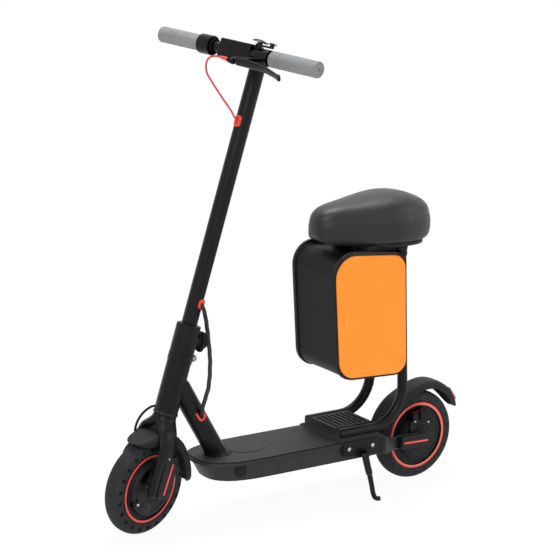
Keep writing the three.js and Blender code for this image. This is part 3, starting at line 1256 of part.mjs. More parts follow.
function bagBody() {
  const inner = seatTube.y + seatTube.radius + gap;
  const postFront = -seatTube.radius - gap;
  const shell = plateXZ(bagOutline(bag.shellInset, postFront), -inner, inner + gap);
  const hollow = plateXZ(bagOutline(bag.shellInset + bag.wall, postFront - bag.wall), -inner - overrun,
    inner - bag.wall);
  const edge = bag.farHalfWidth - bag.padRise;
  const panel = plateXZ(bagOutline(0, bag.rear), inner, edge);
  const pad = plateXZ(bagOutline(bag.padInset, bag.rear, bag.padDraw), edge - gap, bag.farHalfWidth);
  return placed(join(cut(shell, hollow), panel, pad), postMatrix());
}

function bagLid() {
  const inner = seatTube.y + seatTube.radius + 2 * gap;
  const edge = bag.halfWidth - bag.padRise;
  const panel = plateXZ(bagOutline(0, bag.rear), -edge, -inner);
  const pad = plateXZ(bagOutline(bag.padInset, bag.rear, bag.padDraw), -bag.halfWidth, gap - edge);
  return placed(join(panel, pad), postMatrix());
}

// Kickstand

function standBracket() {
  const { bracketHalfLength, bracketHalfHeight, bracketThickness, bracketRound, pivotX, pivotZ } = stand;
  const outline = roundedPoints(pivotX - bracketHalfLength, pivotZ - bracketHalfHeight, pivotX + bracketHalfLength,
    pivotZ + bracketHalfHeight, bracketRound, 2);
  const outer = -stayOuter - gap;
  const plate = plateXZ(outline, outer - bracketThickness, outer);
  const pinEnd = stand.y - stand.sleeveHalfDepth - stand.pinEnd;
  const pin = moved(rodY(stand.pinRadius, pinEnd, outer - bracketThickness / 2, sideCount.rod), pivotX, 0, pivotZ);
  return join(plate, pin);
}

// The leg runs down and outward from its pivot and bends back to its foot; a sleeve covers its upper part.
function standLeg() {
  const { sleeveHalfWidth, sleeveHalfDepth, legHalfWidth, legHalfDepth, footHalfWidth, pivotX, pivotZ } = stand;
  const sleeveShare = stand.sleeveLength / pivotZ;
  const stepShare = gap / pivotZ;
  // Each row: shares of the drop and of the way back, then the half width and half depth.
  const rows = [
    [-0.08, 0, sleeveHalfWidth * 0.6, sleeveHalfDepth * 0.8], [-0.04, 0, sleeveHalfWidth, sleeveHalfDepth],
    [0.1, 0.02, sleeveHalfWidth, sleeveHalfDepth], [sleeveShare, 0.2, sleeveHalfWidth * 0.95, sleeveHalfDepth],
    [sleeveShare + stepShare, 0.2, legHalfWidth, legHalfDepth], [0.68, 0.4, legHalfWidth, legHalfDepth],
    [0.84, 0.7, legHalfWidth, legHalfDepth], [0.93, 0.93, legHalfWidth * 1.1, legHalfDepth],
    [1, 1, footHalfWidth, legHalfDepth],
  ];
  const rings = rows.map(([dropShare, backShare, halfX, halfY]) => ellipseRing(halfX, halfY,
    pivotZ * (1 - dropShare), 12, pivotX + (stand.footX - pivotX) * backShare,
    stand.y + (stand.footY - stand.y) * Math.max(0, dropShare), 3));
  const hole = moved(rodY(stand.pinRadius + gap, stand.y - wheel.radius / 4, stand.y + wheel.radius / 4,
    sideCount.rod), pivotX, 0, pivotZ);
  return cut(loft(rings), hole);
}

// Cords

// A stretch of a longer curve, from one share of its length to another.
class CurvePart extends THREE.Curve {
  constructor(whole, fromShare, toShare) {
    super();
    Object.assign(this, { whole, fromShare, toShare });
  }

  getPoint(share) {
    return this.whole.getPointAt(this.fromShare + (this.toShare - this.fromShare) * share);
  }
}

// The harness from the pole to the down tube, in two lengths that meet between the two moving parts.
function harnessCurve() {
  const grommet = neckGrommetFrame();
  const upper = harnessUpper.map((point) => new THREE.Vector3(...point).applyMatrix4(steeredMatrix()));
  const lower = harnessLower.map((point) => new THREE.Vector3(...point));
  const ends = harnessEnd.map((point) => new THREE.Vector3(...point).applyMatrix4(grommet));
  return new THREE.CatmullRomCurve3([...upper, ...lower, ...ends], false, 'centripetal');
}

// The space that the harness needs in the two grommets.
function harnessRoom() {
  return pipe(harnessCurve(), harnessSize.radius + harnessSize.room, sideCount.cord, 48);
}

function harnessSolid(lowerHalf) {
  const whole = harnessCurve();
  const skip = gap / whole.getLength();
  const { splitShare } = harnessSize;
  const part = lowerHalf ? new CurvePart(whole, splitShare + skip, 1 - skip) : new CurvePart(whole, skip, splitShare);
  return pipe(part, harnessSize.radius, sideCount.cord, 16);
}

function motorCableSolid() {
  return pipe(smoothCurve(motorCableRoute), motorCableSize.radius, 6, 14);
}

// Assembly

function steeringGroup() {
  const group = new THREE.Group();
  group.position.copy(steerOrigin);
  group.rotation.set(0, rake, radians(steer.restDegrees));
  group.add(
    named('fork', forkSolid(), looks.frame),
    named('fork_cover_left', forkCover(-1), looks.plastic),
    named('fork_cover_right', forkCover(1), looks.plastic),
    named('front_fender', frontFender(), looks.plastic),
    named('hinge_base', hingeBase(), looks.frame),
    named('hinge_pin', hingePin(), looks.steel),
    named('stem_pole', stemPole(), looks.frame),
    named('stem_grommet', stemGrommet(), looks.red),
    named('latch_lever', latchLever(), looks.frame),
    named('brake_cable', brakeCableSolid(), looks.red),
    named('motor_cable', motorCableSolid(), looks.rubber),
  );
  const frontWheel = new THREE.Group();
  frontWheel.add(
    named('front_hub_motor', rimSolid(frontHub), looks.plastic),
    named('front_tyre', tyreSolid(), looks.rubber),
    named('front_axle', axleSolid(frontHub.halfWidth, frontHub.halfWidth, forkSize.legInner, forkSize.legOuter),
      looks.steel),
  );
  frontWheel.position.set(...frontWheelShift);
  group.add(frontWheel, cockpitGroup());
  return group;
}

function cockpitGroup() {
  const group = new THREE.Group();
  group.position.set(-bar.reach, 0, bar.height);
  group.add(
    named('handlebar', barSolid(), looks.frame),
    named('grip_left', gripSolid(-1), looks.foam),
    named('grip_right', gripSolid(1), looks.foam),
    named('throttle_collar', throttleCollar(), looks.plastic),
    named('throttle_lever', throttleLever(), looks.plastic),
    named('head_block', headBlock(), looks.plastic),
    named('head_window', headWindow(), looks.gloss),
    named('power_button', powerButton(), looks.red),
    named('bell', bell(), looks.plastic),
    named('bell_lever', bellLever(), looks.plastic),
  );
  const brakeFrame = new THREE.Group();
  brakeFrame.rotation.y = -radians(perch.dropDegrees);
  brakeFrame.add(
    named('brake_perch', brakePerch(), looks.plastic),
    named('brake_lever', brakeLever(), looks.alloy),
  );
  group.add(brakeFrame);
  return group;
}

function bearingGroup() {
  const group = new THREE.Group();
  group.position.copy(steerOrigin);
  group.rotation.y = rake;
  group.add(
    named('bearing_lower', bearingSolid(head.bottom), looks.steel),
    named('bearing_upper', bearingSolid(head.top - head.seatDepth + gap), looks.steel),
  );
  return group;
}

function rearWheelGroup() {
  const discFace = -disc.y + disc.thickness / 2;
  const armInner = stay.axleOuter - stay.thickness;
  const group = new THREE.Group();
  group.add(
    named('rear_rim', rearRimSolid(), looks.plastic),
    named('rear_tyre', tyreSolid(), looks.rubber),
    named('brake_disc', discSolid(), looks.steel),
    named('rear_axle', axleSolid(discFace, rearHub.halfWidth, armInner, stay.axleOuter), looks.steel),
  );
  group.position.set(...rearWheelShift);
  return group;
}

const scooter = new THREE.Group();
scooter.position.y = sideShift;
scooter.add(
  named('frame_neck', frameNeck(), looks.frame),
  named('neck_grommet', neckGrommet(), looks.red),
  bearingGroup(),
  steeringGroup(),
  named('harness_upper', harnessSolid(false), looks.rubber),
  named('harness_lower', harnessSolid(true), looks.rubber),
  named('deck_shell', deckShell(), looks.frame),
  named('deck_mat', deckMat(), looks.rubber),
  named('battery_cover', coverPlateSolid(), looks.plastic),
  named('battery_pack', battery(), looks.cell),
  named('motor_controller', controller(), looks.alloy),
  named('charge_cap', chargeCap(), looks.rubber),
  named('rear_stay_left', stayPlate(-1), looks.frame),
  named('rear_stay_right', stayPlate(1), looks.frame),
  named('stay_cover_left', stayCover(-1), looks.plastic),
  named('stay_cover_right', stayCover(1), looks.plastic),
  rearWheelGroup(),
  named('rear_fender', rearFender(), looks.plastic),
  named('tail_light', tailLight(), looks.lens),
  named('brake_caliper', caliper(), looks.alloy),
  named('caliper_arm', caliperArm(), looks.steel),
  named('foot_rest', footRest(), looks.plastic),
  named('seat_tube_left', seatPipe(-1, seatTube.radius), looks.frame),
  named('seat_tube_right', seatPipe(1, seatTube.radius), looks.frame),
  named('seat_bridge', seatBridge(), looks.frame),
  named('saddle_pan', saddlePan(), looks.plastic),
  named('saddle_cushion', saddleCushion(), looks.leather),
  named('bag_body', bagBody(), looks.leather),
  named('bag_lid', bagLid(), looks.orange),
  named('stand_bracket', standBracket(), looks.frame),
  named('kickstand', standLeg(), looks.frame),
);

export default scooter;
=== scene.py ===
# %% [markdown]
# # A seated electric scooter
# This lesson dresses a folding electric scooter that carries a saddle and a bag. The solids of the frame
# are already there, so each cell either gives one of them a finish or makes a finer surface in its place.
# Lengths are in metres. +X points to the rear, +Y to the rider's right and +Z up.

# %% Load the frame
import json
import bpy
import bmesh
import numpy as np
from mathutils import Matrix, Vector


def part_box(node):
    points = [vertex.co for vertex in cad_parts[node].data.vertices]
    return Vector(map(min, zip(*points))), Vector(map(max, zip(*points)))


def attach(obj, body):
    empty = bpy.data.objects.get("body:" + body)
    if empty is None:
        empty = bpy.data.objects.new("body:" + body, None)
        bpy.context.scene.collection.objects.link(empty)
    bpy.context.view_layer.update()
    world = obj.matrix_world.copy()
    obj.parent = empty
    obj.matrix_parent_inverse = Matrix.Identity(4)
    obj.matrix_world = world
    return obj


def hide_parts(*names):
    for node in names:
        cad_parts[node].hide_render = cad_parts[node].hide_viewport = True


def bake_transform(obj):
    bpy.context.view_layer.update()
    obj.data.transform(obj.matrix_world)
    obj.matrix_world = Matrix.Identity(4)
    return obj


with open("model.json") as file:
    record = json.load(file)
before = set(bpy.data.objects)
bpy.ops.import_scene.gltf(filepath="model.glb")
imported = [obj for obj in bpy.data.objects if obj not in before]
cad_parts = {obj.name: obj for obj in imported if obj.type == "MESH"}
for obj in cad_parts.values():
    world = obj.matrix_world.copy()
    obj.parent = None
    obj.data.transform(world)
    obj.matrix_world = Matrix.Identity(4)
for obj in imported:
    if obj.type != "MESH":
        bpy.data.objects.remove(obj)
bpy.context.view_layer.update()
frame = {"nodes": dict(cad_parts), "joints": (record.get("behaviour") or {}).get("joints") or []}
scene = bpy.context.scene
nodes = frame["nodes"]
joints = {joint["name"]: joint for joint in frame["joints"]}
mm = 0.001
turn = 2 * np.pi

# %% [markdown]
# ## Camera
# The photograph was taken from the front left, a little above the handlebar and from some four metres
# away. A long lens keeps the far wheel almost as large as the near one. The camera's three axes are
# worked out from its heading, its downward tilt and a slight roll.

# %% Camera
camera_place = np.array([-2.393, -3.3364, 1.5086])
heading, tilt, roll = 0.611, 0.2344, 0.0295
focal_pixels, frame_pixels, sensor_width = 1888.0, 560.0, 36.0


def unit(vector):
    """The vector, or each row of an array, divided by its length."""
    vector = np.asarray(vector, float)
    return vector / np.linalg.norm(vector, axis=-1, keepdims=True)


ahead = np.array([np.sin(heading) * np.cos(tilt), np.cos(heading) * np.cos(tilt), -np.sin(tilt)])
level = unit(np.cross(ahead, [0, 0, 1]))
upright = np.cross(level, ahead)
right = np.cos(roll) * level + np.sin(roll) * upright
above = np.cos(roll) * upright - np.sin(roll) * level

camera_data = bpy.data.cameras.new("camera")
camera_data.sensor_width = sensor_width
camera_data.lens = focal_pixels / frame_pixels * sensor_width
camera_data.clip_end = 100
camera = bpy.data.objects.new("camera", camera_data)
pose = np.eye(4)
pose[:3, :3] = np.column_stack([right, above, -ahead])
pose[:3, 3] = camera_place
camera.matrix_world = Matrix(pose.tolist())
scene.collection.objects.link(camera)
scene.camera = camera
scene.view_settings.view_transform = "Standard"
print("lens", round(camera_data.lens, 1), "mm")

# %% [markdown]
# ## Surfaces from numbers
# Every new surface here is a grid of points. One direction of the grid goes round a section, the other
# goes along the piece. A grid that closes on itself in both directions is a ring, such as a tyre. A grid
# that narrows to one point at an end is closed there once its equal points are merged.

# %% Grid to mesh
SMOOTH_EDGE = np.radians(38)
MERGE_GAP, SLIVER_GAP = 2e-6, 1e-7


def corner_numbers(rows, columns, wrap_rows, wrap_columns):
    """The four corners of each face as (row, column) pairs that aren't wrapped yet, one face per row."""
    i, j = np.meshgrid(np.arange(rows if wrap_rows else rows - 1),
                       np.arange(columns if wrap_columns else columns - 1), indexing="ij")
    i, j = i.ravel(), j.ravel()
    return np.stack([i, i + 1, i + 1, i], 1), np.stack([j, j, j + 1, j + 1], 1)


def surface(name, grid, body, paints, wrap=(False, False), column_paint=None, slot=None, edge=SMOOTH_EDGE):
    """A mesh through a grid of points of shape (rows, columns, 3), which rides on a body of the frame.

    Its UV map runs from 0 to 1 along the rows and along the columns. column_paint gives the number of the
    paint for each strip of faces between two columns."""
    rows, columns = grid.shape[:2]
    i, j = corner_numbers(rows, columns, *wrap)
    corners = (i % rows) * columns + j % columns
    mesh = bpy.data.meshes.new(name)
    mesh.vertices.add(rows * columns)
    mesh.vertices.foreach_set("co", grid.reshape(-1).astype(np.float32))
    mesh.loops.add(corners.size)
    mesh.loops.foreach_set("vertex_index", corners.ravel().astype(np.int32))
    mesh.polygons.add(len(corners))
    mesh.polygons.foreach_set("loop_start", (np.arange(len(corners)) * 4).astype(np.int32))
    if column_paint is not None:
        mesh.polygons.foreach_set("material_index", np.asarray(column_paint)[j[:, 0]].astype(np.int32))
    mesh.update(calc_edges=True)
    uv = np.stack([i / (rows - 1 + wrap[0]), j / (columns - 1 + wrap[1])], -1)
    mesh.uv_layers.new(name="UVMap").data.foreach_set("uv", uv.ravel().astype(np.float32))
    return finished(name, mesh, body, paints, edge)


def finished(name, mesh, body, paints, edge=SMOOTH_EDGE):
    """Merges equal points, turns the faces outwards, smooths the shading and hangs the piece on its body."""
    work = bmesh.new()
    work.from_mesh(mesh)
    bmesh.ops.remove_doubles(work, verts=work.verts, dist=MERGE_GAP)
    bmesh.ops.dissolve_degenerate(work, edges=work.edges, dist=SLIVER_GAP)
    bmesh.ops.recalc_face_normals(work, faces=work.faces)
    work.to_mesh(mesh)
    work.free()
    mesh.shade_smooth()
    mesh.set_sharp_from_angle(angle=edge)
    for paint in paints:
        mesh.materials.append(paint)
    obj = bpy.data.objects.new(name, mesh)
    scene.collection.objects.link(obj)
    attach(obj, body)
    print(f"{name}: {len(mesh.vertices)} points, {len(mesh.polygons)} faces on {body}")
    return obj


# %% [markdown]
# Pieces are described by few points, so three tools turn a handful of places into a fine curve: one
# rounds it, one spaces its points evenly and one closes the ends of a grid. Blender's own curves could
# do the first two, but then the points wouldn't be at hand for the formulas that follow.

# %% Curves and ends


def capped(grid, ends=None):
    """The grid with each end drawn together into one point: the end ring's mean, or the given point."""
    ends = grid[[0, -1]].mean(1) if ends is None else ends
    first, last = (np.repeat(end[None, None], grid.shape[1], 1) for end in ends)
    return np.concatenate([first, grid, last])


def squared_off(wave, power):
    """A sine or cosine raised to a power, sign kept: below 1 a circle swells into a rounded box."""
    return np.sign(wave) * np.abs(wave) ** power


def around(sides, shift=0.0):
    """Equal angles round a full turn, moved on by a share of one step."""
    return turn * (np.arange(sides) + shift) / sides


def square_pair(axis):
    """Two directions square to an axis and to each other."""
    axis = unit(axis)
    across = unit(np.cross(axis, [0, 0, 1] if abs(axis[2]) < 0.9 else [1, 0, 0]))
    return across, np.cross(axis, across)


def smooth_path(points, steps=12):
    """Points on a smooth curve through the given ones.

    Between two neighbours the curve blends three straight lines whose times grow with the square root of
    each gap, which keeps it from swinging out at uneven gaps."""
    p = np.asarray(points, float)
    p = np.vstack([2 * p[:1] - p[1:2], p, 2 * p[-1:] - p[-2:-1]])
    t = np.concatenate([[0], np.cumsum(np.linalg.norm(np.diff(p, axis=0), axis=1) ** 0.5)])
    ta, tb, tc, td = (x[:, None] for x in (t[:-3], t[1:-2], t[2:-1], t[3:]))
    a, b, c, d = (x[:, None] for x in (p[:-3], p[1:-2], p[2:-1], p[3:]))
    s = tb + (tc - tb) * np.arange(steps) / steps

    def between(u, v, tu, tv):
        share = ((s - tu) / (tv - tu))[..., None]
        return u * (1 - share) + v * share

    ab, bc, cd = between(a, b, ta, tb), between(b, c, tb, tc), between(c, d, tc, td)
    whole = between(between(ab, bc, ta, tc), between(bc, cd, tb, td), tb, tc)
    return np.vstack([whole.reshape(-1, p.shape[1]), p[-2:-1]])


def even_steps(path, count):
    """The path again, as count points that lie the same length apart."""
    reach = np.concatenate([[0], np.cumsum(np.linalg.norm(np.diff(path, axis=0), axis=1))])
    wanted = np.linspace(0, reach[-1], count)
    return np.stack([np.interp(wanted, reach, column) for column in path.T], 1)


def smooth_step(share, low, high):
    """0 below low, 1 above high and an even S curve between them."""
    s = np.clip((share - low) / (high - low), 0, 1)
    return s * s * (3 - 2 * s)


def path_length(path):
    """The sum of the steps along a path."""
    return float(np.linalg.norm(np.diff(path, axis=0), axis=1).sum())


def turned(name, profile, centre, axis, body, paints, steps=144, closed=True, **more):
    """A profile of (radius, height) carried round an axis: centre + height along it + radius across it.

    The row of the grid is the turn and its column the place on the profile."""
    profile = np.asarray(profile, float)
    across, over = square_pair(axis)
    angle = around(steps)[:, None, None]
    spoke = np.cos(angle) * across + np.sin(angle) * over
    grid = centre + profile[None, :, :1] * spoke + profile[None, :, 1:] * unit(axis)
    return surface(name, grid, body, paints, wrap=(True, closed), **more)


def ring_along(path, sides, away):
    """Unit rings square to a path. The first direction is the part of away that is square to the path."""
    away = np.asarray(away, float)
    along = unit(np.gradient(path, axis=0))
    first = unit(away - (along @ away)[:, None] * along)
    second = np.cross(along, first)
    angle = around(sides)[None, :, None]
    return np.cos(angle) * first[:, None] + np.sin(angle) * second[:, None]


def tube(name, path, radius, body, paints, sides=16, away=(0, 1, 0), **more):
    """A round section carried along a path, closed at both ends: the path plus its rings times the radius.

    The radius is one number, one for each point of the path, or one for each point of the grid."""
    path, radius = np.asarray(path, float), np.asarray(radius, float)
    radius = radius[..., None] if radius.ndim == 2 else np.broadcast_to(radius, len(path))[:, None, None]
    grid = path[:, None] + radius * ring_along(path, sides, away)
    return surface(name, capped(grid, path[[0, -1]]), body, paints, wrap=(False, True), **more)


def rounded_bar(name, low, high, radius, body, paints, place=lambda points: points, **more):
    """A bar between two corners with all its edges round.

    A sphere of the edge's radius is cut in eight and each eighth is moved into a corner of the bar."""
    low, high = np.minimum(low, high), np.maximum(low, high)
    radius = min(radius, *(high - low) / 2.001)
    u = np.linspace(-np.pi / 2, np.pi / 2, 12)[:, None]
    v = around(24, 0.5)[None, :]
    ball = np.stack([np.cos(u) * np.cos(v), np.cos(u) * np.sin(v), np.sin(u) * np.ones_like(v)], -1)
    middle = (low + high) / 2
    grid = middle + radius * ball + np.sign(ball) * ((high - low) / 2 - radius)
    return surface(name, place(capped(grid)), body, paints, wrap=(False, True), **more)


def rounded_outline(corners, rounds, inset=0.0, count=120):
    """A convex outline with an arc in each corner, as evenly spaced rows of two numbers.

    The corners run anticlockwise. Every side moves in by the inset and every arc loses as much radius."""
    corners = np.asarray(corners, float)
    rounds = np.broadcast_to(np.asarray(rounds, float), len(corners))[:, None]
    back, onward = unit(np.roll(corners, 1, 0) - corners), unit(np.roll(corners, -1, 0) - corners)
    spread = np.sin(np.arccos((back * onward).sum(1)))[:, None]
    centre = corners + (back + onward) / spread * rounds
    first = np.arctan2(back[:, 0], -back[:, 1])
    sweep = (np.arctan2(-onward[:, 0], onward[:, 1]) - first) % turn
    angle = first[:, None] + sweep[:, None] * np.linspace(0, 1, 16)
    arcs = centre[:, None] + (rounds - inset)[..., None] * np.stack([np.cos(angle), np.sin(angle)], -1)
    ring = arcs.reshape(-1, 2)
    return even_steps(np.vstack([ring, ring[:1]]), count + 1)[:-1]


def slab(name, corners, rounds, low, high, bevel, body, paints, place, count=120, **more):
    """A plate with a round-cornered outline and quarter-round edges.

    Its rings run from the middle of the low face out over the edge and in to the middle of the high face."""
    bend = np.linspace(0, np.pi / 2, 4)
    rings = [(bevel * (1 - np.sin(t)), low + bevel * (1 - np.cos(t))) for t in bend]
    rings += [(bevel * (1 - np.cos(t)), high - bevel * (1 - np.sin(t))) for t in bend]
    grid = [np.column_stack([rounded_outline(corners, rounds, inset, count), np.full(count, height)])
            for inset, height in rings]
    return surface(name, place(capped(np.array(grid))), body, paints, wrap=(False, True), **more)


def upright_plate(points):
    """Rows of (x, z, y) as (x, y, z), for plates that stand along the scooter."""
    return points[..., [0, 2, 1]]


print("surface tools ready")

# %% [markdown]
# ## Grain, scuffs and the paints that use them
# A black scooter is a lesson in gloss: powder coat, moulded plastic, rubber, foam and two leathers are
# all nearly the same colour and differ only in how their skin breaks the light. Two effects return in
# every finish. Grain is a fine relief made of noise and small cells. Cloudiness is a slow change of tone
# that keeps a large surface from looking printed. Each is built once, as a node group.

# %% Shared node groups


def new_group(name, inputs, outputs):
    """An empty shader group with number inputs of the given first values, and number outputs."""
    group = bpy.data.node_groups.new(name, "ShaderNodeTree")
    for label, value in inputs.items():
        group.interface.new_socket(label, in_out="INPUT", socket_type="NodeSocketFloat").default_value = value
    for label in outputs:
        group.interface.new_socket(label, in_out="OUTPUT", socket_type="NodeSocketFloat")
    return group, group.nodes.new("NodeGroupInput"), group.nodes.new("NodeGroupOutput")


def add_node(tree, kind, settings=(), **sockets):
    """A node of one kind, with its settings and the values or links of its named inputs."""
    node = tree.nodes.new(kind)
    for key, value in dict(settings).items():
        setattr(node, key, value)
    for label, value in sockets.items():
        socket = node.inputs[label.replace("_", " ")] if isinstance(label, str) else node.inputs[label]
        if isinstance(value, bpy.types.NodeSocket):
            tree.links.new(value, socket)
        else:
            socket.default_value = value
    return node


def arithmetic(tree, operation, *values):
    """A Math node: the operation on one, two or three numbers or links."""
    node = tree.nodes.new("ShaderNodeMath")
    node.operation = operation
    for socket, value in zip(node.inputs, values):
        if isinstance(value, bpy.types.NodeSocket):
            tree.links.new(value, socket)
        else:
            socket.default_value = value
    return node.outputs[0]


grain_group, grain_in, grain_out = new_group(
    "grain", {"Scale": 900.0, "Cells": 0.5, "Fineness": 2.0}, ["Height"])
place_node = grain_group.nodes.new("ShaderNodeTexCoord")
grain_noise = add_node(grain_group, "ShaderNodeTexNoise", Vector=place_node.outputs["Object"],
                       Scale=grain_in.outputs["Scale"], Detail=grain_in.outputs["Fineness"], Roughness=0.6)
grain_cells = add_node(grain_group, "ShaderNodeTexVoronoi", {"feature": "DISTANCE_TO_EDGE"},
                       Vector=place_node.outputs["Object"],
                       Scale=arithmetic(grain_group, "MULTIPLY", grain_in.outputs["Scale"], 0.55))
cell_height = add_node(grain_group, "ShaderNodeMapRange", {"interpolation_type": "SMOOTHSTEP"},
                       Value=grain_cells.outputs["Distance"], From_Max=0.16)
grain_height = arithmetic(
    grain_group, "ADD",
    arithmetic(grain_group, "MULTIPLY", cell_height.outputs["Result"], grain_in.outputs["Cells"]),
    arithmetic(grain_group, "MULTIPLY", grain_noise.outputs["Fac"],
               arithmetic(grain_group, "SUBTRACT", 1.0, grain_in.outputs["Cells"])))
grain_group.links.new(grain_height, grain_out.inputs["Height"])

cloud_group, cloud_in, cloud_out = new_group("cloudiness", {"Scale": 9.0, "Streaks": 1.0}, ["Tone", "Dust"])
cloud_place = cloud_group.nodes.new("ShaderNodeTexCoord")
cloud_map = add_node(cloud_group, "ShaderNodeMapping", Vector=cloud_place.outputs["Object"])
cloud_map.inputs["Scale"].default_value = (1.0, 1.0, 0.6)
cloud_slow = add_node(cloud_group, "ShaderNodeTexNoise", Vector=cloud_map.outputs["Vector"],
                      Scale=cloud_in.outputs["Scale"], Detail=4.0, Roughness=0.55,
                      Distortion=cloud_in.outputs["Streaks"])
cloud_fast = add_node(cloud_group, "ShaderNodeTexNoise", Vector=cloud_map.outputs["Vector"],
                      Scale=arithmetic(cloud_group, "MULTIPLY", cloud_in.outputs["Scale"], 14.0), Detail=3.0)
cloud_tone = add_node(cloud_group, "ShaderNodeMapRange", Value=cloud_slow.outputs["Fac"], From_Min=0.3,
                      From_Max=0.7)
cloud_dust = add_node(cloud_group, "ShaderNodeMapRange", {"interpolation_type": "SMOOTHSTEP"},
                      Value=arithmetic(cloud_group, "MULTIPLY", cloud_slow.outputs["Fac"],
                                       cloud_fast.outputs["Fac"]),
                      From_Min=0.28, From_Max=0.42)
cloud_group.links.new(cloud_tone.outputs["Result"], cloud_out.inputs["Tone"])
cloud_group.links.new(cloud_dust.outputs["Result"], cloud_out.inputs["Dust"])
print("groups:", [group.name for group in bpy.data.node_groups])

# %% [markdown]
# A finish is then a darker and a lighter tone, the roughness of each and the size and height of the
# grain. Colours are written as they are seen on a screen, from 0 to 255, and turned into light.

# %% Finishes


def light(*screen):
    """The light of a screen colour: (value / 255) to the power 2.2, with an alpha of 1."""
    return tuple((np.asarray(screen, float) / 255) ** 2.2) + (1.0,)


def finish(name, dark, pale, rough=(0.45, 0.6), grain=900.0, cells=0.4, height=0.05, relief=0.0004, cloud=9.0,
           **sockets):
    """A skin whose tone and roughness drift between two values and whose grain lifts its normal."""
    paint = bpy.data.materials.new(name)
    paint.use_nodes = True
    tree = paint.node_tree
    skin = tree.nodes["Principled BSDF"]
    for label, value in sockets.items():
        skin.inputs[label.replace("_", " ")].default_value = value
    clouds = add_node(tree, "ShaderNodeGroup", {"node_tree": cloud_group}, Scale=cloud)
    tone = add_node(tree, "ShaderNodeMix", {"data_type": "RGBA"}, Factor=clouds.outputs["Tone"])
    tone.inputs[6].default_value = light(*dark)
    tone.inputs[7].default_value = light(*pale)
    tree.links.new(tone.outputs[2], skin.inputs["Base Color"])
    rough_node = add_node(tree, "ShaderNodeMapRange", Value=clouds.outputs["Dust"], To_Min=rough[0],
                          To_Max=rough[1])
    tree.links.new(rough_node.outputs["Result"], skin.inputs["Roughness"])
    grains = add_node(tree, "ShaderNodeGroup", {"node_tree": grain_group}, Scale=grain, Cells=cells)
    bump = add_node(tree, "ShaderNodeBump", Strength=height, Distance=relief, Height=grains.outputs["Height"])
    tree.links.new(bump.outputs["Normal"], skin.inputs["Normal"])
    paint["bump"] = bump.name
    return paint


# After the roughness come the grains in a metre, the share of small cells among them and their relief.
coat = finish("powder_coat", (22, 22, 24), (28, 28, 31), (0.34, 0.44), 1400, 0.15, 0.25,
              Specular_IOR_Level=0.16)
plastic = finish("black_plastic", (35, 35, 37), (42, 42, 44), (0.48, 0.6), 1700, 0.6, 0.3,
                 Specular_IOR_Level=0.14)
deck_coat = finish("deck_coat", (40, 40, 42), (47, 47, 49), (0.4, 0.5), 1400, 0.15, 0.2,
                   Specular_IOR_Level=0.22)
gloss_plastic = finish("gloss_plastic", (12, 12, 13), (17, 17, 18), (0.2, 0.3), 1700, 0.3, 0.1,
                       Specular_IOR_Level=0.2)
hub_paint = finish("hub_paint", (36, 36, 38), (43, 43, 45), (0.42, 0.55), 1500, 0.3, 0.3,
                   Specular_IOR_Level=0.13)
tyre_rubber = finish("tyre_rubber", (44, 45, 47), (53, 54, 56), (0.7, 0.85), 1200, 0.5, 0.5,
                     Specular_IOR_Level=0.13)
deck_rubber = finish("deck_rubber", (40, 40, 42), (48, 48, 50), (0.6, 0.75), 700, 0.8, 0.6,
                     Specular_IOR_Level=0.25)
cable_rubber = finish("cable_rubber", (20, 20, 22), (27, 27, 29), (0.5, 0.6), 1500, 0.3, 0.3,
                      Specular_IOR_Level=0.2)
red_rubber = finish("red_rubber", (222, 62, 48), (234, 78, 62), (0.5, 0.62), 1600, 0.4, 0.25,
                    Specular_IOR_Level=0.3)
red_strip = finish("red_strip", (228, 74, 66), (240, 90, 78), (0.45, 0.55), 1600, 0.4, 0.2,
                   Specular_IOR_Level=0.3)
red_pale = finish("red_pale", (236, 116, 106), (246, 132, 120), (0.45, 0.55), 1600, 0.4, 0.2,
                  Specular_IOR_Level=0.3)
red_plastic = finish("red_plastic", (210, 38, 32), (222, 50, 40), (0.35, 0.45), 1600, 0.4, 0.15)
foam = finish("grip_foam", (127, 128, 130), (141, 142, 144), (0.85, 0.95), 620, 0.7, 0.9, 0.0006, 24.0,
              Specular_IOR_Level=0.15, Sheen_Weight=0.1)
saddle_leather = finish("saddle_leather", (28, 28, 30), (35, 35, 37), (0.42, 0.54), 520, 0.9, 0.2, 0.0005,
                        7.0, Specular_IOR_Level=0.36, Sheen_Weight=0.05)
bag_leather = finish("bag_leather", (14, 14, 17), (20, 20, 23), (0.45, 0.55), 560, 0.9, 0.25, 0.0005, 8.0,
                     Specular_IOR_Level=0.14)
edge_leather = finish("edge_leather", (11, 11, 13), (16, 16, 18), (0.3, 0.42), 700, 0.8, 0.2,
                      Specular_IOR_Level=0.25)
orange_leather = finish("orange_leather", (246, 139, 44), (251, 147, 52), (0.55, 0.65), 600, 0.9, 0.22,
                        0.0005, 5.0, Specular_IOR_Level=0.2)
steel = finish("steel", (176, 178, 180), (200, 202, 204), (0.22, 0.36), 900, 0.0, 0.15, Metallic=1.0)
dark_alloy = finish("dark_alloy", (46, 47, 49), (62, 63, 66), (0.3, 0.42), 1300, 0.2, 0.12, Metallic=0.6)
lever_alloy = finish("lever_alloy", (13, 13, 14), (18, 18, 19), (0.16, 0.24), 1300, 0.2, 0.06,
                     Specular_IOR_Level=0.2)
window_gloss = finish("window_gloss", (6, 6, 7), (10, 10, 11), (0.1, 0.16), 900, 0.0, 0.03,
                      Specular_IOR_Level=0.2)
red_lens = finish("red_lens", (190, 30, 60), (206, 48, 76), (0.15, 0.25), 700, 0.2, 0.3, Coat_Weight=0.5)
cell_wrap = finish("cell_wrap", (50, 82, 156), (62, 98, 176), (0.35, 0.5), 400, 0.1, 0.2)
print(len(bpy.data.materials), "finishes")

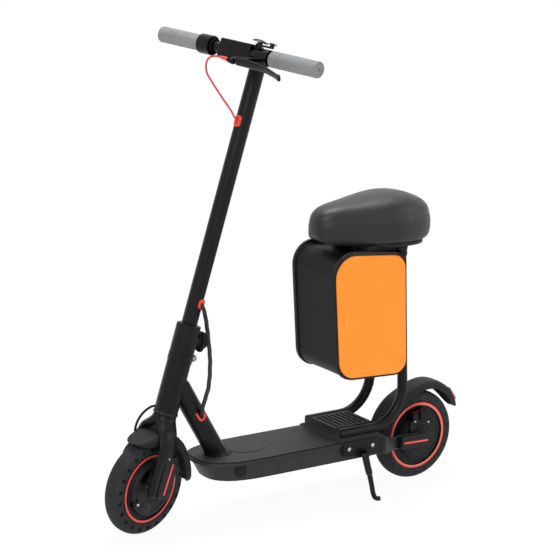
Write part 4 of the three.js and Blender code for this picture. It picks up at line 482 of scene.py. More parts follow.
# %% [markdown]
# ## The solids that stay
# The frame's solids are cut from flat facets. A small Geometry Nodes group merges their corners and
# shades them smooth where two facets meet at a low angle, so a tube looks round and a corner stays crisp.
# The Weighted Normal modifier then keeps flat faces flat next to a round edge.

# %% Smooth shading for the frame's solids
round_faces = bpy.data.node_groups.new("round_faces", "GeometryNodeTree")
for way in ("INPUT", "OUTPUT"):
    round_faces.interface.new_socket("Geometry", in_out=way, socket_type="NodeSocketGeometry")
shape_in, shape_out = round_faces.nodes.new("NodeGroupInput"), round_faces.nodes.new("NodeGroupOutput")
merged = add_node(round_faces, "GeometryNodeMergeByDistance", Geometry=shape_in.outputs[0], Distance=2e-5)
all_round = add_node(round_faces, "GeometryNodeSetShadeSmooth", {"domain": "FACE"},
                     Geometry=merged.outputs[0])
edge_angle = round_faces.nodes.new("GeometryNodeInputMeshEdgeAngle")
is_sharp = add_node(round_faces, "FunctionNodeCompare", {"operation": "GREATER_THAN"})
round_faces.links.new(edge_angle.outputs["Unsigned Angle"], is_sharp.inputs[0])
is_sharp.inputs[1].default_value = SMOOTH_EDGE
crisp = add_node(round_faces, "GeometryNodeSetShadeSmooth", {"domain": "EDGE"}, Geometry=all_round.outputs[0],
                 Selection=is_sharp.outputs[0], Shade_Smooth=False)
round_faces.links.new(crisp.outputs[0], shape_out.inputs[0])

kept = {
    coat: ["frame_neck", "fork", "hinge_base", "stem_pole", "latch_lever", "handlebar", "seat_tube_left",
           "seat_tube_right", "seat_bridge", "stand_bracket"],
    deck_coat: ["deck_shell"],
    gloss_plastic: ["throttle_collar", "throttle_lever", "head_block", "bell", "bell_lever", "brake_perch",
                    "brake_caliper", "caliper_arm"],
    plastic: ["battery_cover", "stay_cover_left", "stay_cover_right", "foot_rest"],
    steel: ["bearing_lower", "bearing_upper", "hinge_pin", "front_axle", "rear_axle"],
    red_rubber: ["stem_grommet"],
    cable_rubber: ["charge_cap"],
    deck_rubber: ["deck_mat"],
    dark_alloy: ["motor_controller"],
    window_gloss: ["head_window"],
    red_plastic: ["power_button"],
    cell_wrap: ["battery_pack"],
}
for paint, names in kept.items():
    for name in names:
        node = nodes[name]
        node.data.materials.clear()
        node.data.materials.append(paint)
        node.modifiers.new("round_faces", "NODES").node_group = round_faces
        weigh = node.modifiers.new("weigh_normals", "WEIGHTED_NORMAL")
        weigh.keep_sharp = True
print(sum(map(len, kept.values())), "solids keep their shape")

# %% [markdown]
# ## The steering's own axes
# The scooter is parked with its bar turned, so everything above the fork stands in a leaning and turned
# frame: its z runs up the steering axis, its y along the bar and its x back from the wheel. The joints
# of the frame give these directions.

# %% The steering's axes
steer_point = np.array(joints["steer"]["pos_m"])
steer_up = unit(joints["steer"]["axis"])
bar_way = unit(joints["front_wheel_spin"]["axis"])
steer_axes = np.array([np.cross(bar_way, steer_up), bar_way, steer_up])


def steered(points):
    """Points of the steering's frame in the scooter's: the steering's place plus x, y and z on its axes."""
    return steer_point + np.asarray(points, float) @ steer_axes


front_centre = np.array(joints["front_wheel_spin"]["pos_m"])
rear_centre = np.array(joints["rear_wheel_spin"]["pos_m"])
side_shift = rear_centre[1]
print("steering axes", np.round(steer_axes, 3).tolist())

# %% [markdown]
# ## Tyres
# The tyres are solid rubber. Round holes go into both side walls, which lets the rubber give, and a few
# faint lines run round the tread. Both are pressed into one turned surface, point by point.

# %% Tyres
WHEEL_RADIUS, TYRE_HALF = 108 * mm, 22.5 * mm
HOLE_COUNT, HOLE_CIRCLE = 22, 91.5 * mm
HOLE_EDGE = (-0.5 * mm, 0.7 * mm)
LINE_PLACES, LINE_DEPTH, LINE_EDGE = (4.5 * mm, 10 * mm), 0.5 * mm, (0.3 * mm, 0.9 * mm)
TREAD_START = (99 * mm, 101 * mm)
TYRE_STEPS = 28 * HOLE_COUNT
# Half a section of the band: share of the way out from the bead, share of the half width.
band_shares = np.array([[0, 0.82], [0.1, 0.93], [0.25, 1], [0.42, 0.985], [0.6, 0.91], [0.77, 0.77],
                        [0.89, 0.58], [0.97, 0.35], [1, 0.15], [1, 0]])


def tyre(name, centre, axis, bead, hole, body, node):
    """A turned band. The holes push it inwards along the axle, the lines push the tread in along its radius.

    hole is a side hole's radius and depth in millimetres. Hole k lies at (k + 1/2) / count of a turn."""
    hole_radius, hole_depth = hole[0] * mm, hole[1] * mm
    half = np.column_stack([bead + (WHEEL_RADIUS - bead) * band_shares[:, 0], TYRE_HALF * band_shares[:, 1]])
    half = even_steps(smooth_path(half, 16), 64)
    half[:, 0] = np.minimum(half[:, 0], WHEEL_RADIUS)
    radius, height = np.vstack([half, half[-2::-1] * [1, -1]]).T
    angle = around(TYRE_STEPS)[:, None]
    nearest = turn / HOLE_COUNT * (np.floor(angle / turn * HOLE_COUNT) + 0.5)
    distance = np.hypot((angle - nearest) * HOLE_CIRCLE, radius - HOLE_CIRCLE)
    depth = hole_depth * (1 - smooth_step(distance, hole_radius + HOLE_EDGE[0], hole_radius + HOLE_EDGE[1]))
    on_side_wall = np.abs(height) > 0.7 * TYRE_HALF
    nearest_line = np.min([np.abs(np.abs(height) - place) for place in LINE_PLACES], 0)
    line = (1 - smooth_step(nearest_line, *LINE_EDGE)) * smooth_step(radius, *TREAD_START)
    r = radius - LINE_DEPTH * line + 0 * angle
    h = height - np.sign(height) * depth * on_side_wall
    across, over = square_pair(axis)
    spoke = np.cos(angle)[..., None] * across + np.sin(angle)[..., None] * over
    grid = centre + r[..., None] * spoke + h[..., None] * unit(axis)
    made = surface(name, grid, body, [tyre_rubber], wrap=(True, True), slot="tyre_rubber",
                   edge=np.radians(60))
    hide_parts(node)


tyre("front_tyre_skin", front_centre, bar_way, bead=78.5 * mm, hole=(4.4, 8), body="front_wheel",
     node="front_tyre")
tyre("rear_tyre_skin", rear_centre, [0, 1, 0], bead=82 * mm, hole=(3.0, 2.5), body="rear_wheel",
     node="rear_tyre")

# %% [markdown]
# ## Wheel bodies
# Each wheel is one casting: a drum in the middle that holds the motor or the brake's drum, a web, and a
# flat band beside the tyre which carries a red ring. They are turned from a profile like pots on a
# wheel, and the strips of faces on the band take the red paint. The rear ring has a paler inner part.

# %% Wheel bodies


def wheel_body(name, centre, axis, case, drum_half, groove, ring, paints, body, node):
    """Half a profile from the axle out to the rim, mirrored for the other side, in millimetres.

    case is the drum's radius, groove the radius of a round channel in its face and ring the band's inner and
    outer radius. The strips on the band's face are numbered by their place in the profile."""
    inner, outer = ring
    axle, web, band = 6.3, 14, 20.5
    half = np.array([
        [axle, drum_half - 3], [15, drum_half - 3], [16, drum_half - 0.6], [17, drum_half],
        [groove - 2, drum_half], [groove - 1, drum_half - 1.4], [groove + 1, drum_half - 1.4],
                     [groove + 2, drum_half],
        [case - 3.2, drum_half], [case - 1, drum_half - 0.9], [case, drum_half - 3], [case + 0.8, 18],
        [case + 3, web + 0.4], [case + 5, web], [inner - 3.4, web], [inner - 1.6, web + 0.6],
        [inner - 0.5, band - 1.3], [inner, band - 0.4], [inner + 0.8, band], [inner + 3.2, band],
        [outer - 0.8, band], [outer, band - 0.4], [outer + 0.6, band - 1.5], [outer + 0.6, 0]])
    profile = np.vstack([half, half[-2::-1] * [1, -1]]) * mm
    paint = np.zeros(len(profile), int)
    for strip, number in ((17, 1), (18, 1), (19, 2), (20, 2)):
        paint[strip] = paint[len(profile) - 2 - strip] = number
    made = turned(name, profile, centre, axis, body, paints, 192, True, column_paint=paint,
                  slot="hub_alloy", edge=np.radians(50))
    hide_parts(node)


wheel_body("front_wheel_body", front_centre, bar_way, case=60, drum_half=27, groove=50, ring=(72.6, 77.6),
           paints=[hub_paint, red_strip, red_strip], body="front_wheel", node="front_hub_motor")
wheel_body("rear_wheel_body", rear_centre, [0, 1, 0], case=46, drum_half=26, groove=34, ring=(74.6, 81.2),
           paints=[hub_paint, red_pale, red_strip], body="rear_wheel", node="rear_rim")

# %% [markdown]
# ## Small pieces of the wheels
# The brake's disc hides behind a flat cover, a valve leans out of the front wheel, the front drum has windows
# and both drums are closed with screws. All but the windows are round, so a profile is turned for
# each. A Boolean could cut the windows, but a thin dark plate on the face paints the shade inside each one
# and stays clean.

# %% Disc cover, valve and windows
# Profiles are rows of radius and place along the axle.
cover_profile = np.array([[8, -26.4], [8, -31.2], [30, -31.7], [47.4, -32], [48.4, -30.5], [51, -30.5],
                          [52, -32], [54.4, -31.6], [55, -30.4], [55, -26.4]]) * mm
brake_cover = turned("brake_disc_cover", cover_profile, rear_centre, [0, 1, 0], "rear_wheel", [hub_paint],
                     144, slot="dark_alloy", edge=np.radians(50))
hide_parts("brake_disc")

# The valve leans out of the front wheel: a black boss with a bright pin.
valve_foot = front_centre + np.array([-41, -20, -33.5]) * mm @ steer_axes
boss_profile = np.array([[0, 0], [11, 0], [10.5, 7], [7.5, 10], [4, 10.8], [0, 10.8]]) * mm
pin_profile = np.array([[0, 10], [3.2, 10], [3.2, 13.2], [2.4, 14.6], [0, 14.8]]) * mm
turned("front_valve_boss", boss_profile, valve_foot, -bar_way, "front_wheel", [gloss_plastic], 32, False,
       slot="black_rubber")
turned("front_valve_pin", pin_profile, valve_foot, -bar_way, "front_wheel", [steel], 24, False, slot="steel")

WINDOW_COUNT, WINDOW_TURN, DRUM_FACE = 3, np.radians(48), 27 * mm
window_corners = np.array([[-14, 30], [14, 30], [21, 49], [0, 54], [-21, 49]]) * mm


def drum_window(points, angle):
    """Rows of (u, v, depth) on the left face of the front drum, turned by an angle about the axle."""
    c, w = np.cos(angle), np.sin(angle)
    u, v = points[..., 0], points[..., 1]
    return front_centre + np.stack([c * u - w * v, -DRUM_FACE - points[..., 2], w * u + c * v],
                                   -1) @ steer_axes


# Each window is a thin dark plate of painted shade where the drum has an opening.
for number in range(WINDOW_COUNT):
    angle = WINDOW_TURN + turn * number / WINDOW_COUNT
    slab(f"front_drum_window_shade_{number + 1}", window_corners, rounds=5 * mm, low=-1.5 * mm, high=0.5 * mm,
         bevel=0.4 * mm, body="front_wheel", paints=[edge_leather],
         place=lambda points: drum_window(points, angle), slot="hub_alloy")

# %% Screws


def screw(name, centre, axis, radius, height, body, paint, slot="steel"):
    """A button head: a low dome with a round edge and a socket in its middle, turned about its own axis."""
    share = np.linspace(0, 1, 9)[:, None]
    dome = np.hstack([radius * np.sin(share * np.pi / 2), height * (0.35 + 0.65 * np.cos(share * np.pi / 2))])
    profile = np.vstack([[[0, height * 0.3], [radius * 0.42, height * 0.3], [radius * 0.46, height * 0.97]],
                         dome[4:], [[radius, -0.4 * mm], [0, -0.4 * mm]]])
    return turned(name, profile, centre, axis, body, [paint], 24, False, slot=slot)


def screw_circle(name, centre, axis, circle, height, count, radius, body, paint):
    """Screws at equal turns on a circle about an axle, on the face at that height."""
    axis = unit(axis)
    across, over = square_pair(axis)
    for k, angle in enumerate(around(count, 0.5)):
        place = centre + height * axis + circle * (np.cos(angle) * across + np.sin(angle) * over)
        screw(f"{name}_{k + 1}", place, axis * np.sign(height), radius, 1.4 * mm, body, paint)


SIDES = ((-1, "left"), (1, "right"))
COVER_FACE, REAR_DRUM_FACE = -31.9 * mm, 26 * mm
for side, label in SIDES:
    screw_circle(f"front_hub_screw_{label}", front_centre, bar_way, circle=34 * mm, height=side * DRUM_FACE,
                 count=5, radius=2.4 * mm, body="front_wheel", paint=dark_alloy)
    screw_circle(f"rear_hub_screw_{label}", rear_centre, [0, 1, 0], circle=29 * mm,
                 height=COVER_FACE if side < 0 else REAR_DRUM_FACE, count=5, radius=2.2 * mm,
                 body="rear_wheel", paint=hub_paint)

# %% [markdown]
# ## Fenders
# A fender is a thin channel carried round the wheel. Its section is a flat top that turns down into two
# skirts, and near its ends both the width and the skirts shrink, which gives the rounded tips.

# %% Fenders
# The section's points: share of the half width, share of the skirt's depth.
section_shares = np.array([[-1, 1], [-1, 0.4], [-0.8, 0.1], [-0.4, 0], [0.4, 0], [0.8, 0.1], [1, 0.4],
                           [1, 1]])
FENDER_WALL = 2.6 * mm


def end_taper(share, start, end, start_least, end_least):
    """The share of the full width near a fender's two round ends: a quarter circle that starts at least."""
    def rise(t, least):
        return least + (1 - least) * np.sqrt(1 - (1 - np.clip(t, 0, 1)) ** 2)
    return rise(share / start, start_least) * rise((1 - share) / end, end_least)


def fender(name, centre, axes, half_width, skirt, first, last, radius_at, width_at, body, node):
    """Rings at equal angles. A point of the section lies at the ring's width share across and depth share in.

    The outer skin is joined with an inner one, a wall's thickness inside it, and both ends are closed."""
    share = np.linspace(0, 1, 97)
    angle = np.radians(first + (last - first) * share)
    wide = width_at(share)
    across, depth = smooth_path(section_shares, 8).T
    across, depth = np.clip(across, -1, 1), np.clip(depth, 0, 1)
    outer_y = wide[:, None] * half_width * across
    outer_d = wide[:, None] ** 2 * skirt * depth
    inner_y = (wide[:, None] * half_width - FENDER_WALL) * across
    inner_d = FENDER_WALL + (wide[:, None] ** 2 * skirt - FENDER_WALL / 2) * depth
    y = np.hstack([outer_y, inner_y[:, ::-1]])
    d = np.hstack([outer_d, inner_d[:, ::-1]])
    r = radius_at(share)[:, None] - d
    local = np.stack([r * np.cos(angle)[:, None], y, r * np.sin(angle)[:, None]], -1)
    grid = centre + local @ axes
    middles = (grid[[0, -1]] + grid[[0, -1], ::-1]) / 2
    made = surface(name, np.concatenate([middles[:1], grid, middles[1:]]), body, [plastic],
                   wrap=(False, True), slot="black_plastic", edge=np.radians(55))
    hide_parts(node)


fender("front_fender_shell", front_centre, steer_axes, half_width=35 * mm, skirt=21 * mm, first=11,
       last=129.5,
       radius_at=lambda s: (121 + 6 * smooth_step(s, 0.23, 0.49) * (1 - smooth_step(s, 0.66, 1))) * mm,
       width_at=lambda s: end_taper(s, start=0.08, end=0.2, start_least=0.55, end_least=0.12),
       body="fork", node="front_fender")
fender("rear_fender_shell", rear_centre, np.eye(3), half_width=27.5 * mm, skirt=19 * mm, first=168, last=22.5,
       radius_at=lambda s: (117.5 + 22.5 * smooth_step(s, 0.36, 0.74) - 4.5 * smooth_step(s, 0.8, 1)) * mm,
       width_at=lambda s: end_taper(s, start=0.02, end=0.26, start_least=0.9, end_least=0.35),
       body="frame", node="rear_fender")
TONGUE_HALF = 18 * mm
rounded_bar("rear_fender_tongue", low=[213.4 * mm, side_shift - TONGUE_HALF, 128 * mm],
            high=[246 * mm, side_shift + TONGUE_HALF, 137 * mm], radius=1.5 * mm, body="frame",
            paints=[plastic], slot="black_plastic")

# %% [markdown]
# ## Tail light
# The lens is a short bar of clear red plastic that sits on the fender's back, below a black shoulder.

# %% Tail light
LENS_ANGLE, LENS_RADIUS = np.radians(36), 137 * mm
lens_out = np.array([np.cos(LENS_ANGLE), 0, np.sin(LENS_ANGLE)])
lens_down = np.array([np.sin(LENS_ANGLE), 0, -np.cos(LENS_ANGLE)])
lens_place = rear_centre + LENS_RADIUS * lens_out
lens_axes = np.array([lens_down, [0, 1, 0], lens_out])


def on_fender(points):
    """Rows of (way down the fender, across, height over it) in the scooter's frame."""
    return lens_place + points @ lens_axes


lens_low, lens_high = np.array([[-14, -11, -3], [17, 11, 7.6]]) * mm
shoulder_low, shoulder_high = np.array([[-22, -12, -3], [-12.5, 12, 6.6]]) * mm
lens = rounded_bar("tail_lens", lens_low, lens_high, 3.4 * mm, "frame", [red_lens], on_fender,
                   slot="red_lens")
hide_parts("tail_light")
rounded_bar("tail_lens_shoulder", shoulder_low, shoulder_high, 3 * mm, "frame", [plastic], on_fender,
            slot="black_plastic")

# %% [markdown]
# ## Fork legs
# The crown flows into both legs in one casting. Each leg is lofted through ovals, from the round crown
# under the bearing out and down to the axle.

# %% Fork legs
# Ovals in the steering's frame: height, place across, place along, half length along, half width across.
LEG_OVALS = np.array([[161, 0, 0, 25.8, 25.8], [154, 3, -1, 25.4, 25.2], [145, 12, -4, 25, 23],
                      [134, 25, -9, 25, 18.5],
                      [122, 36, -13, 25.5, 13.5], [109, 43, -16, 26, 10], [95, 47, -18, 25, 8.2],
                      [78, 49, -24.5, 18.5, 7.6], [60, 49.5, -31, 12.8, 7.5], [20, 50, -33.5, 12, 7.5],
                      [-4, 50, -33, 10.8, 7.2]]) * mm
for side, label in SIDES:
    ovals = smooth_path(LEG_OVALS, 8)
    if side > 0:
        # The right leg is flat in front, so the fender hides it from the left.
        shave = 6.5 * mm * smooth_step(-ovals[:, 0], -140 * mm, -115 * mm)
        shave *= 1 - smooth_step(-ovals[:, 0], -95 * mm, -62 * mm)
        ovals[:, 2] += shave
        ovals[:, 3] -= shave
    tip = np.linspace(0, 1, 7)[1:-1, None] * np.pi / 2
    tip_ovals = ovals[-1] * np.hstack([tip * 0 + 1, tip * 0 + 1, tip * 0 + 1, np.cos(tip), np.cos(tip)])
    tip_ovals[:, :1] -= 10 * mm * np.sin(tip)
    z, y, x, long, wide = np.vstack([ovals, tip_ovals]).T[..., None]
    angle = turn * np.arange(48)[None] / 48
    grid = np.stack([x + long * np.cos(angle), side * (y + wide * np.sin(angle)), z + 0 * angle], -1)
    surface(f"fork_leg_{label}", steered(capped(grid)), "fork", [coat], wrap=(False, True),
            slot="frame_paint")
turned("head_lip", np.array([[24, 165], [27.2, 165], [28, 165.8], [28, 168.2], [27.2, 169], [24, 169]]) * mm,
       steer_point, steer_up, "frame", [deck_coat], 96, slot="frame_paint")
# A very dark ring in the gap between the crown and the lip: painted shade.
turned("head_gap", np.array([[22, 161], [26.2, 161], [26.2, 165], [22, 165]]) * mm, steer_point, steer_up,
       "frame", [window_gloss], 96, slot="black_rubber")

# %% [markdown]
# ## Rear arms
# Each rear arm is one pressed sheet: flat beside the deck, drawn in behind it and flat again at the wheel.
# A thicker plate with two button-head screws clamps it to the deck.

# %% Rear arms
# Stations along an arm: x, lower edge, upper edge, distance of its outer face from the middle.
ARM_STATIONS = np.array([[150, 116, 146, 86.6], [186, 109, 147.5, 86.6], [205, 106, 147.5, 86.2],
                         [216, 104, 144.5, 83],
                         [235, 100.5, 138, 72], [251, 98, 132.5, 63], [263, 97, 130, 57],
                         [278, 95, 128.5, 51], [330, 90.5, 126.5, 48], [350, 89.2, 126.8, 48]]) * mm


def arm_surface(side):
    """A thin rounded section along the stations, with a round end behind the axle."""
    path = smooth_path(ARM_STATIONS, 10)
    fan = np.radians(np.linspace(6, 84, 12))
    round_end = np.column_stack([(357 + 19 * np.sin(fan)) * mm, (108 - 19 * np.cos(fan)) * mm,
                                 (108 + 19 * np.cos(fan)) * mm, np.full(12, 48 * mm)])
    x, low, high, out = np.vstack([path, round_end]).T
    bend = turn * (np.arange(24) + 0.5) / 24
    thick, tall = np.cos(bend), np.sin(bend)
    thick, tall = squared_off(thick, 0.7), squared_off(tall, 0.35)
    y = side_shift + side * (out[:, None] - 1.75 * mm + 1.75 * mm * thick)
    z = (low + high)[:, None] / 2 + (high - low)[:, None] / 2 * tall
    return capped(np.stack([x[:, None] + 0 * y, y, z], -1))


for side, label in SIDES:
    arm = surface(f"rear_arm_{label}", arm_surface(side), "frame", [coat], wrap=(False, True),
                  slot="frame_paint", edge=np.radians(50))
    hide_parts(f"rear_stay_{label}")
    face = side_shift + side * 87.3 * mm
    plate_corners = np.array([[86, 150.5], [88.7, 115], [172, 110], [184.5, 149.5]]) * mm
    inner = side_shift + side * 83 * mm
    slab(f"arm_plate_{label}", plate_corners, 5 * mm, min(inner, face), max(inner, face), 1.2 * mm, "frame",
         [coat], upright_plate, slot="frame_paint")
    rounded_bar(f"arm_block_{label}", [96 * mm, side_shift + side * 60 * mm, 114 * mm],
                [186 * mm, side_shift + side * 85 * mm, 146 * mm], 2 * mm, "frame", [coat],
                slot="frame_paint")
    for number, (x, z, radius, paint) in enumerate(((103.7, 133.8, 4.6, steel), (170.4, 133.8, 4.6, steel),
                                                    (200.8, 114.2, 2.6, dark_alloy))):
        screw(f"arm_screw_{label}_{number + 1}", [x * mm, face - (0.9 * mm * side if number == 2 else 0),
                                                  z * mm],
              [0, side, 0], radius * mm, 2.6 * mm, "frame", paint)

# Two small steel screws hold the caliper together.
caliper_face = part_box("brake_caliper")[0][1]
for number, (x, z) in enumerate(((329.7, 152.3), (369.7, 146))):
    screw(f"caliper_screw_{number + 1}", [x * mm, caliper_face, z * mm], [0, -1, 0], 2.6 * mm, 1.6 * mm,
          "frame", steel)

# %% [markdown]
# ## Kickstand
# The stand is a bent rod. Its upper half wears a ribbed sleeve and its foot curves to the rear.

# %% Kickstand
stand_points = np.array([[138.5, -79.5, 126], [147.5, -80, 94], [155.3, -80.3, 69], [162, -81, 43.5],
                         [167.2, -81.7, 21.5],
                         [172.5, -82.3, 10.3], [180, -82.8, 6.1], [185.2, -83, 5.6]]) * mm
stand_path = even_steps(smooth_path(stand_points, 20), 160)
stand_share = np.linspace(0, 1, 160)
sleeve = 1 - smooth_step(stand_share, 0.42, 0.45)
SLEEVE_RIBS = 22
ribs = np.sign(np.sin(stand_share * turn * SLEEVE_RIBS))
stand_radius = (6.7 - 1.1 * stand_share + sleeve * (1.5 + 0.35 * ribs)) * mm
stand_leg = tube("stand_leg", stand_path, stand_radius, "stand", [gloss_plastic], 24, away=(0, 1, 0),
                 slot="frame_paint")
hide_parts("kickstand")

# %% [markdown]
# ## Red strips
# Each fork cover and each axle cover carries a narrow red reflector on a raised rib. A small bar with
# round edges is set over the rib.

# %% Red strips


def fork_plate(points):
    """Rows of (x, z, y) of the steering's frame in the scooter's frame."""
    return steered(upright_plate(points))


cover_corners = np.array([[-22, -10], [13, -14.5], [18.5, -6], [18.5, 50], [5, 75], [-22, 86]]) * mm
fork_strip_corners = np.array([[-5.8, -2.4], [-1.2, -3.2], [3.6, 68.4], [-0.8, 66.8]]) * mm
arm_strip_corners = np.array([[287.4, 107.4], [359.2, 104.8], [359.2, 109.3], [287.4, 112]]) * mm
for side, label in SIDES:
    low, high = sorted((side * 49.5 * mm, side * 57.6 * mm))
    cover = slab(f"fork_cover_shell_{label}", cover_corners, 4 * mm, low, high, 2 * mm, "fork", [plastic],
                 fork_plate, slot="black_plastic")
    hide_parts(f"fork_cover_{label}")
    low, high = sorted((side * 57 * mm, side * 58.8 * mm))
    slab(f"fork_strip_{label}", fork_strip_corners, 1.2 * mm, low, high, 0.7 * mm, "fork", [red_strip],
         fork_plate, slot="red_plastic")
    screw(f"fork_screw_{label}", steered([-15 * mm, side * 57.4 * mm, 78 * mm]), bar_way * side, 2.6 * mm,
          1.6 * mm, "fork", steel)
    low, high = sorted((side_shift + side * 58 * mm, side_shift + side * 59.9 * mm))
    slab(f"arm_strip_{label}", arm_strip_corners, 1.2 * mm, low, high, 0.7 * mm, "frame", [red_strip],
         upright_plate, slot="red_plastic")

# %% [markdown]
# ## Grips
# The grips are sleeves of soft foam with rounded ends. The outer end is closed except for a small hole,
# and the foam's open cells come from its finish.

# %% Grips
BAR_REACH, BAR_HEIGHT, GRIP_RADIUS = 74.5 * mm, 960.5 * mm, 17.5 * mm
bar_centre = steered([-BAR_REACH, 0, BAR_HEIGHT])


def grip(name, inner, side, node):
    """A sleeve from its inner end to its outer end: a straight wall between two quarter-round edges."""
    bend = np.linspace(0, np.pi / 2, 8)[:, None]
    edge_radius, end = 3 * mm, 224 * mm
    root = np.hstack([GRIP_RADIUS - edge_radius + edge_radius * np.sin(bend),
                      inner + edge_radius - edge_radius * np.cos(bend)])
    tip = np.hstack([GRIP_RADIUS - edge_radius + edge_radius * np.cos(bend),
                     end - edge_radius + edge_radius * np.sin(bend)])
    wall = np.column_stack([np.full(30, GRIP_RADIUS),
                            np.linspace(inner + 2 * edge_radius, end - 2 * edge_radius, 30)])
    profile = np.vstack([[[11.3 * mm, inner]], root, wall, tip,
                         [[2.6 * mm, end], [2.2 * mm, end - 0.4 * mm], [2.2 * mm, end - 6 * mm],
                          [0, end - 6 * mm]]])
    profile = np.vstack([[[0, inner + 1 * mm], [11.2 * mm, inner + 1 * mm]], profile])
    made = turned(name, profile * [1, side], bar_centre, bar_way, "stem", [foam], 96, False, slot="grip_foam")
    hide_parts(node)


grip("grip_left_foam", 96 * mm, -1, "grip_left")
grip("grip_right_foam", 106 * mm, 1, "grip_right")

# %% [markdown]
# ## Brake lever
# The lever is one smooth casting that sweeps away from the bar and ends in a ball. Its frame is the bar's,
# turned forwards and down round it.

# %% Brake lever
LEVER_DROP = np.radians(36.9)
lever_axes = np.array([np.cos(LEVER_DROP) * steer_axes[0] + np.sin(LEVER_DROP) * steer_axes[2], steer_axes[1],
                       np.cos(LEVER_DROP) * steer_axes[2] - np.sin(LEVER_DROP) * steer_axes[0]])
# Shares of the lever's length and of its outward swing.
LEVER_SHARES = np.array([[0, 0], [0.33, 0.03], [0.54, 0.15], [0.65, 0.28], [0.74, 0.43], [0.87, 0.68],
                         [1, 1]])


def lever_surface():
    """A rounded section along the sweep; its depth and height shrink to the neck and swell at the ball."""
    curve = smooth_path(np.column_stack([-42.5 - 25 * LEVER_SHARES[:, 1], -24 - 144 * LEVER_SHARES[:, 0],
                                         0 * LEVER_SHARES[:, 0]]) * mm, 16)
    curve = even_steps(curve, 90)
    share = np.linspace(0, 1, 90)
    ball = np.exp(-((share - 0.965) / 0.03) ** 2)
    deep = (11.6 - 6.2 * share + 3.4 * ball) * mm
    tall = (18.5 - 5 * smooth_step(share, 0.2, 0.85) + 1.5 * ball) * mm
    close = np.sqrt(1 - np.clip(np.abs(2 * share - 1.02) / 1.02 - 0.93, 0, 0.07) ** 2 / 0.0701 ** 2)
    along = unit(np.gradient(curve, axis=0))
    inward = np.stack([-along[:, 1], along[:, 0], 0 * share], 1)
    angle = turn * np.arange(32)[None, :] / 32
    c, w = np.cos(angle), np.sin(angle)
    c, w = squared_off(c, 0.75), squared_off(w, 0.75)
    middle = curve + (deep / 2)[:, None] * inward
    grid = (middle[:, None] + (close * deep / 2)[:, None, None] * c[..., None] * inward[:, None]
            + (close * tall / 2)[:, None, None] * w[..., None] * np.array([0, 0, 1.0]))
    return bar_centre + capped(grid) @ lever_axes


blade = surface("brake_blade", lever_surface(), "brake", [lever_alloy], wrap=(False, True), slot="dark_alloy",
                edge=np.radians(60))
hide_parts("brake_lever")

# %% [markdown]
# ## Saddle
# The saddle is a moulded pad under stretched leather: a low nose, a crowned seat that rises to the rear,
# and sides that draw in towards the base. Every ring across it is a rounded box whose width, crown and
# drop follow the length.

# %% Saddle
SADDLE_FRONT, SADDLE_REAR, SADDLE_SIDE = 43 * mm, 349 * mm, 641 * mm
SADDLE_TOP, SADDLE_BOTTOM = 711 * mm, 600 * mm


def blunt(offset, power):
    """A rounded end: the height of a squared-off circle at an offset from -1 to 1."""
    return (1 - np.abs(offset) ** power) ** (1 / power)


# Half a ring of the pad, from the middle of its base to the middle of its top: share of the half width,
# share of the height. The dent near the middle of the side is the seam between the wall and the top.
SADDLE_SIDE_SHARES = [[0, 0], [0.4, 0], [0.78, 0.005], [0.9, 0.03], [0.96, 0.1], [0.99, 0.22], [1, 0.34],
                      [0.99, 0.45],
                      [0.967, 0.54], [0.937, 0.605], [0.908, 0.645], [0.886, 0.685], [0.857, 0.745],
                      [0.797, 0.82], [0.67, 0.9], [0.5, 0.955], [0.25, 0.988], [0, 1]]


def saddle_surface(rings, sides):
    """Rings from nose to tail: the same half outline on both sides, scaled by the width and height there."""
    offset = -np.cos(np.pi * np.linspace(0.004, 0.996, rings))[:, None]
    share = 0.5 + 0.5 * offset
    wide = 62 + 33 * (0.5 - 0.5 * np.cos(np.pi * np.clip((share - 0.12) / 0.6, 0, 1)))
    half_width = wide * mm * blunt(offset, np.where(offset > 0, 2.9, 2.6))
    crest = 0.79 + 0.21 * smooth_step(share, 0.2, 0.7) - 0.12 * smooth_step(share, 0.72, 1)
    rise = (SADDLE_TOP - SADDLE_SIDE) * crest * blunt(offset, np.where(offset > 0, 3.8, 3.2))
    drop = (SADDLE_SIDE - SADDLE_BOTTOM) * blunt(offset, 4)
    half = even_steps(smooth_path(SADDLE_SIDE_SHARES, 12), sides // 2 + 1)
    across = np.concatenate([half[:, 0], -half[-2:0:-1, 0]])
    level_share = np.concatenate([half[:, 1], half[-2:0:-1, 1]])
    z = SADDLE_SIDE - drop + (rise + drop) * level_share
    x = SADDLE_FRONT + (SADDLE_REAR - SADDLE_FRONT) * share + 0 * z
    return capped(np.stack([x, side_shift + half_width * across, z], -1))


saddle = surface("saddle_pad", saddle_surface(160, 200), "frame", [saddle_leather], wrap=(False, True),
                 slot="saddle_leather", edge=np.radians(70))
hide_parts("saddle_cushion")


PAN_FRONT, PAN_LENGTH, PAN_HALF_WIDTH, PAN_TOP = 126 * mm, 200 * mm, 86 * mm, 606 * mm


def pan_surface():
    """The saddle's moulded base: half an ellipse at the front, wide behind, with a rounded lower edge.

    Its underside climbs towards the front, where the bag's lid swings past it."""
    share = 0.5 - 0.5 * np.cos(np.pi * np.linspace(0.01, 0.99, 60))[:, None]
    half_width = PAN_HALF_WIDTH * (1 - (1 - np.clip(share / 0.6, 0,
                                                    1)) ** 2.2) ** 0.45 * blunt(2 * share - 1, 3)
    low = (592 + 4 * (1 - smooth_step(share, 0.1, 0.5))) * mm
    high = PAN_TOP
    corner = turn * np.arange(80)[None, :] / 80
    c, w = np.cos(corner), np.sin(corner)
    y = half_width * squared_off(c, 0.35)
    z = (low + high) / 2 + (high - low) / 2 * squared_off(w, 0.5)
    x = PAN_FRONT + PAN_LENGTH * share + 0 * corner
    return capped(np.stack([x, side_shift + y, z + 0 * y], -1))


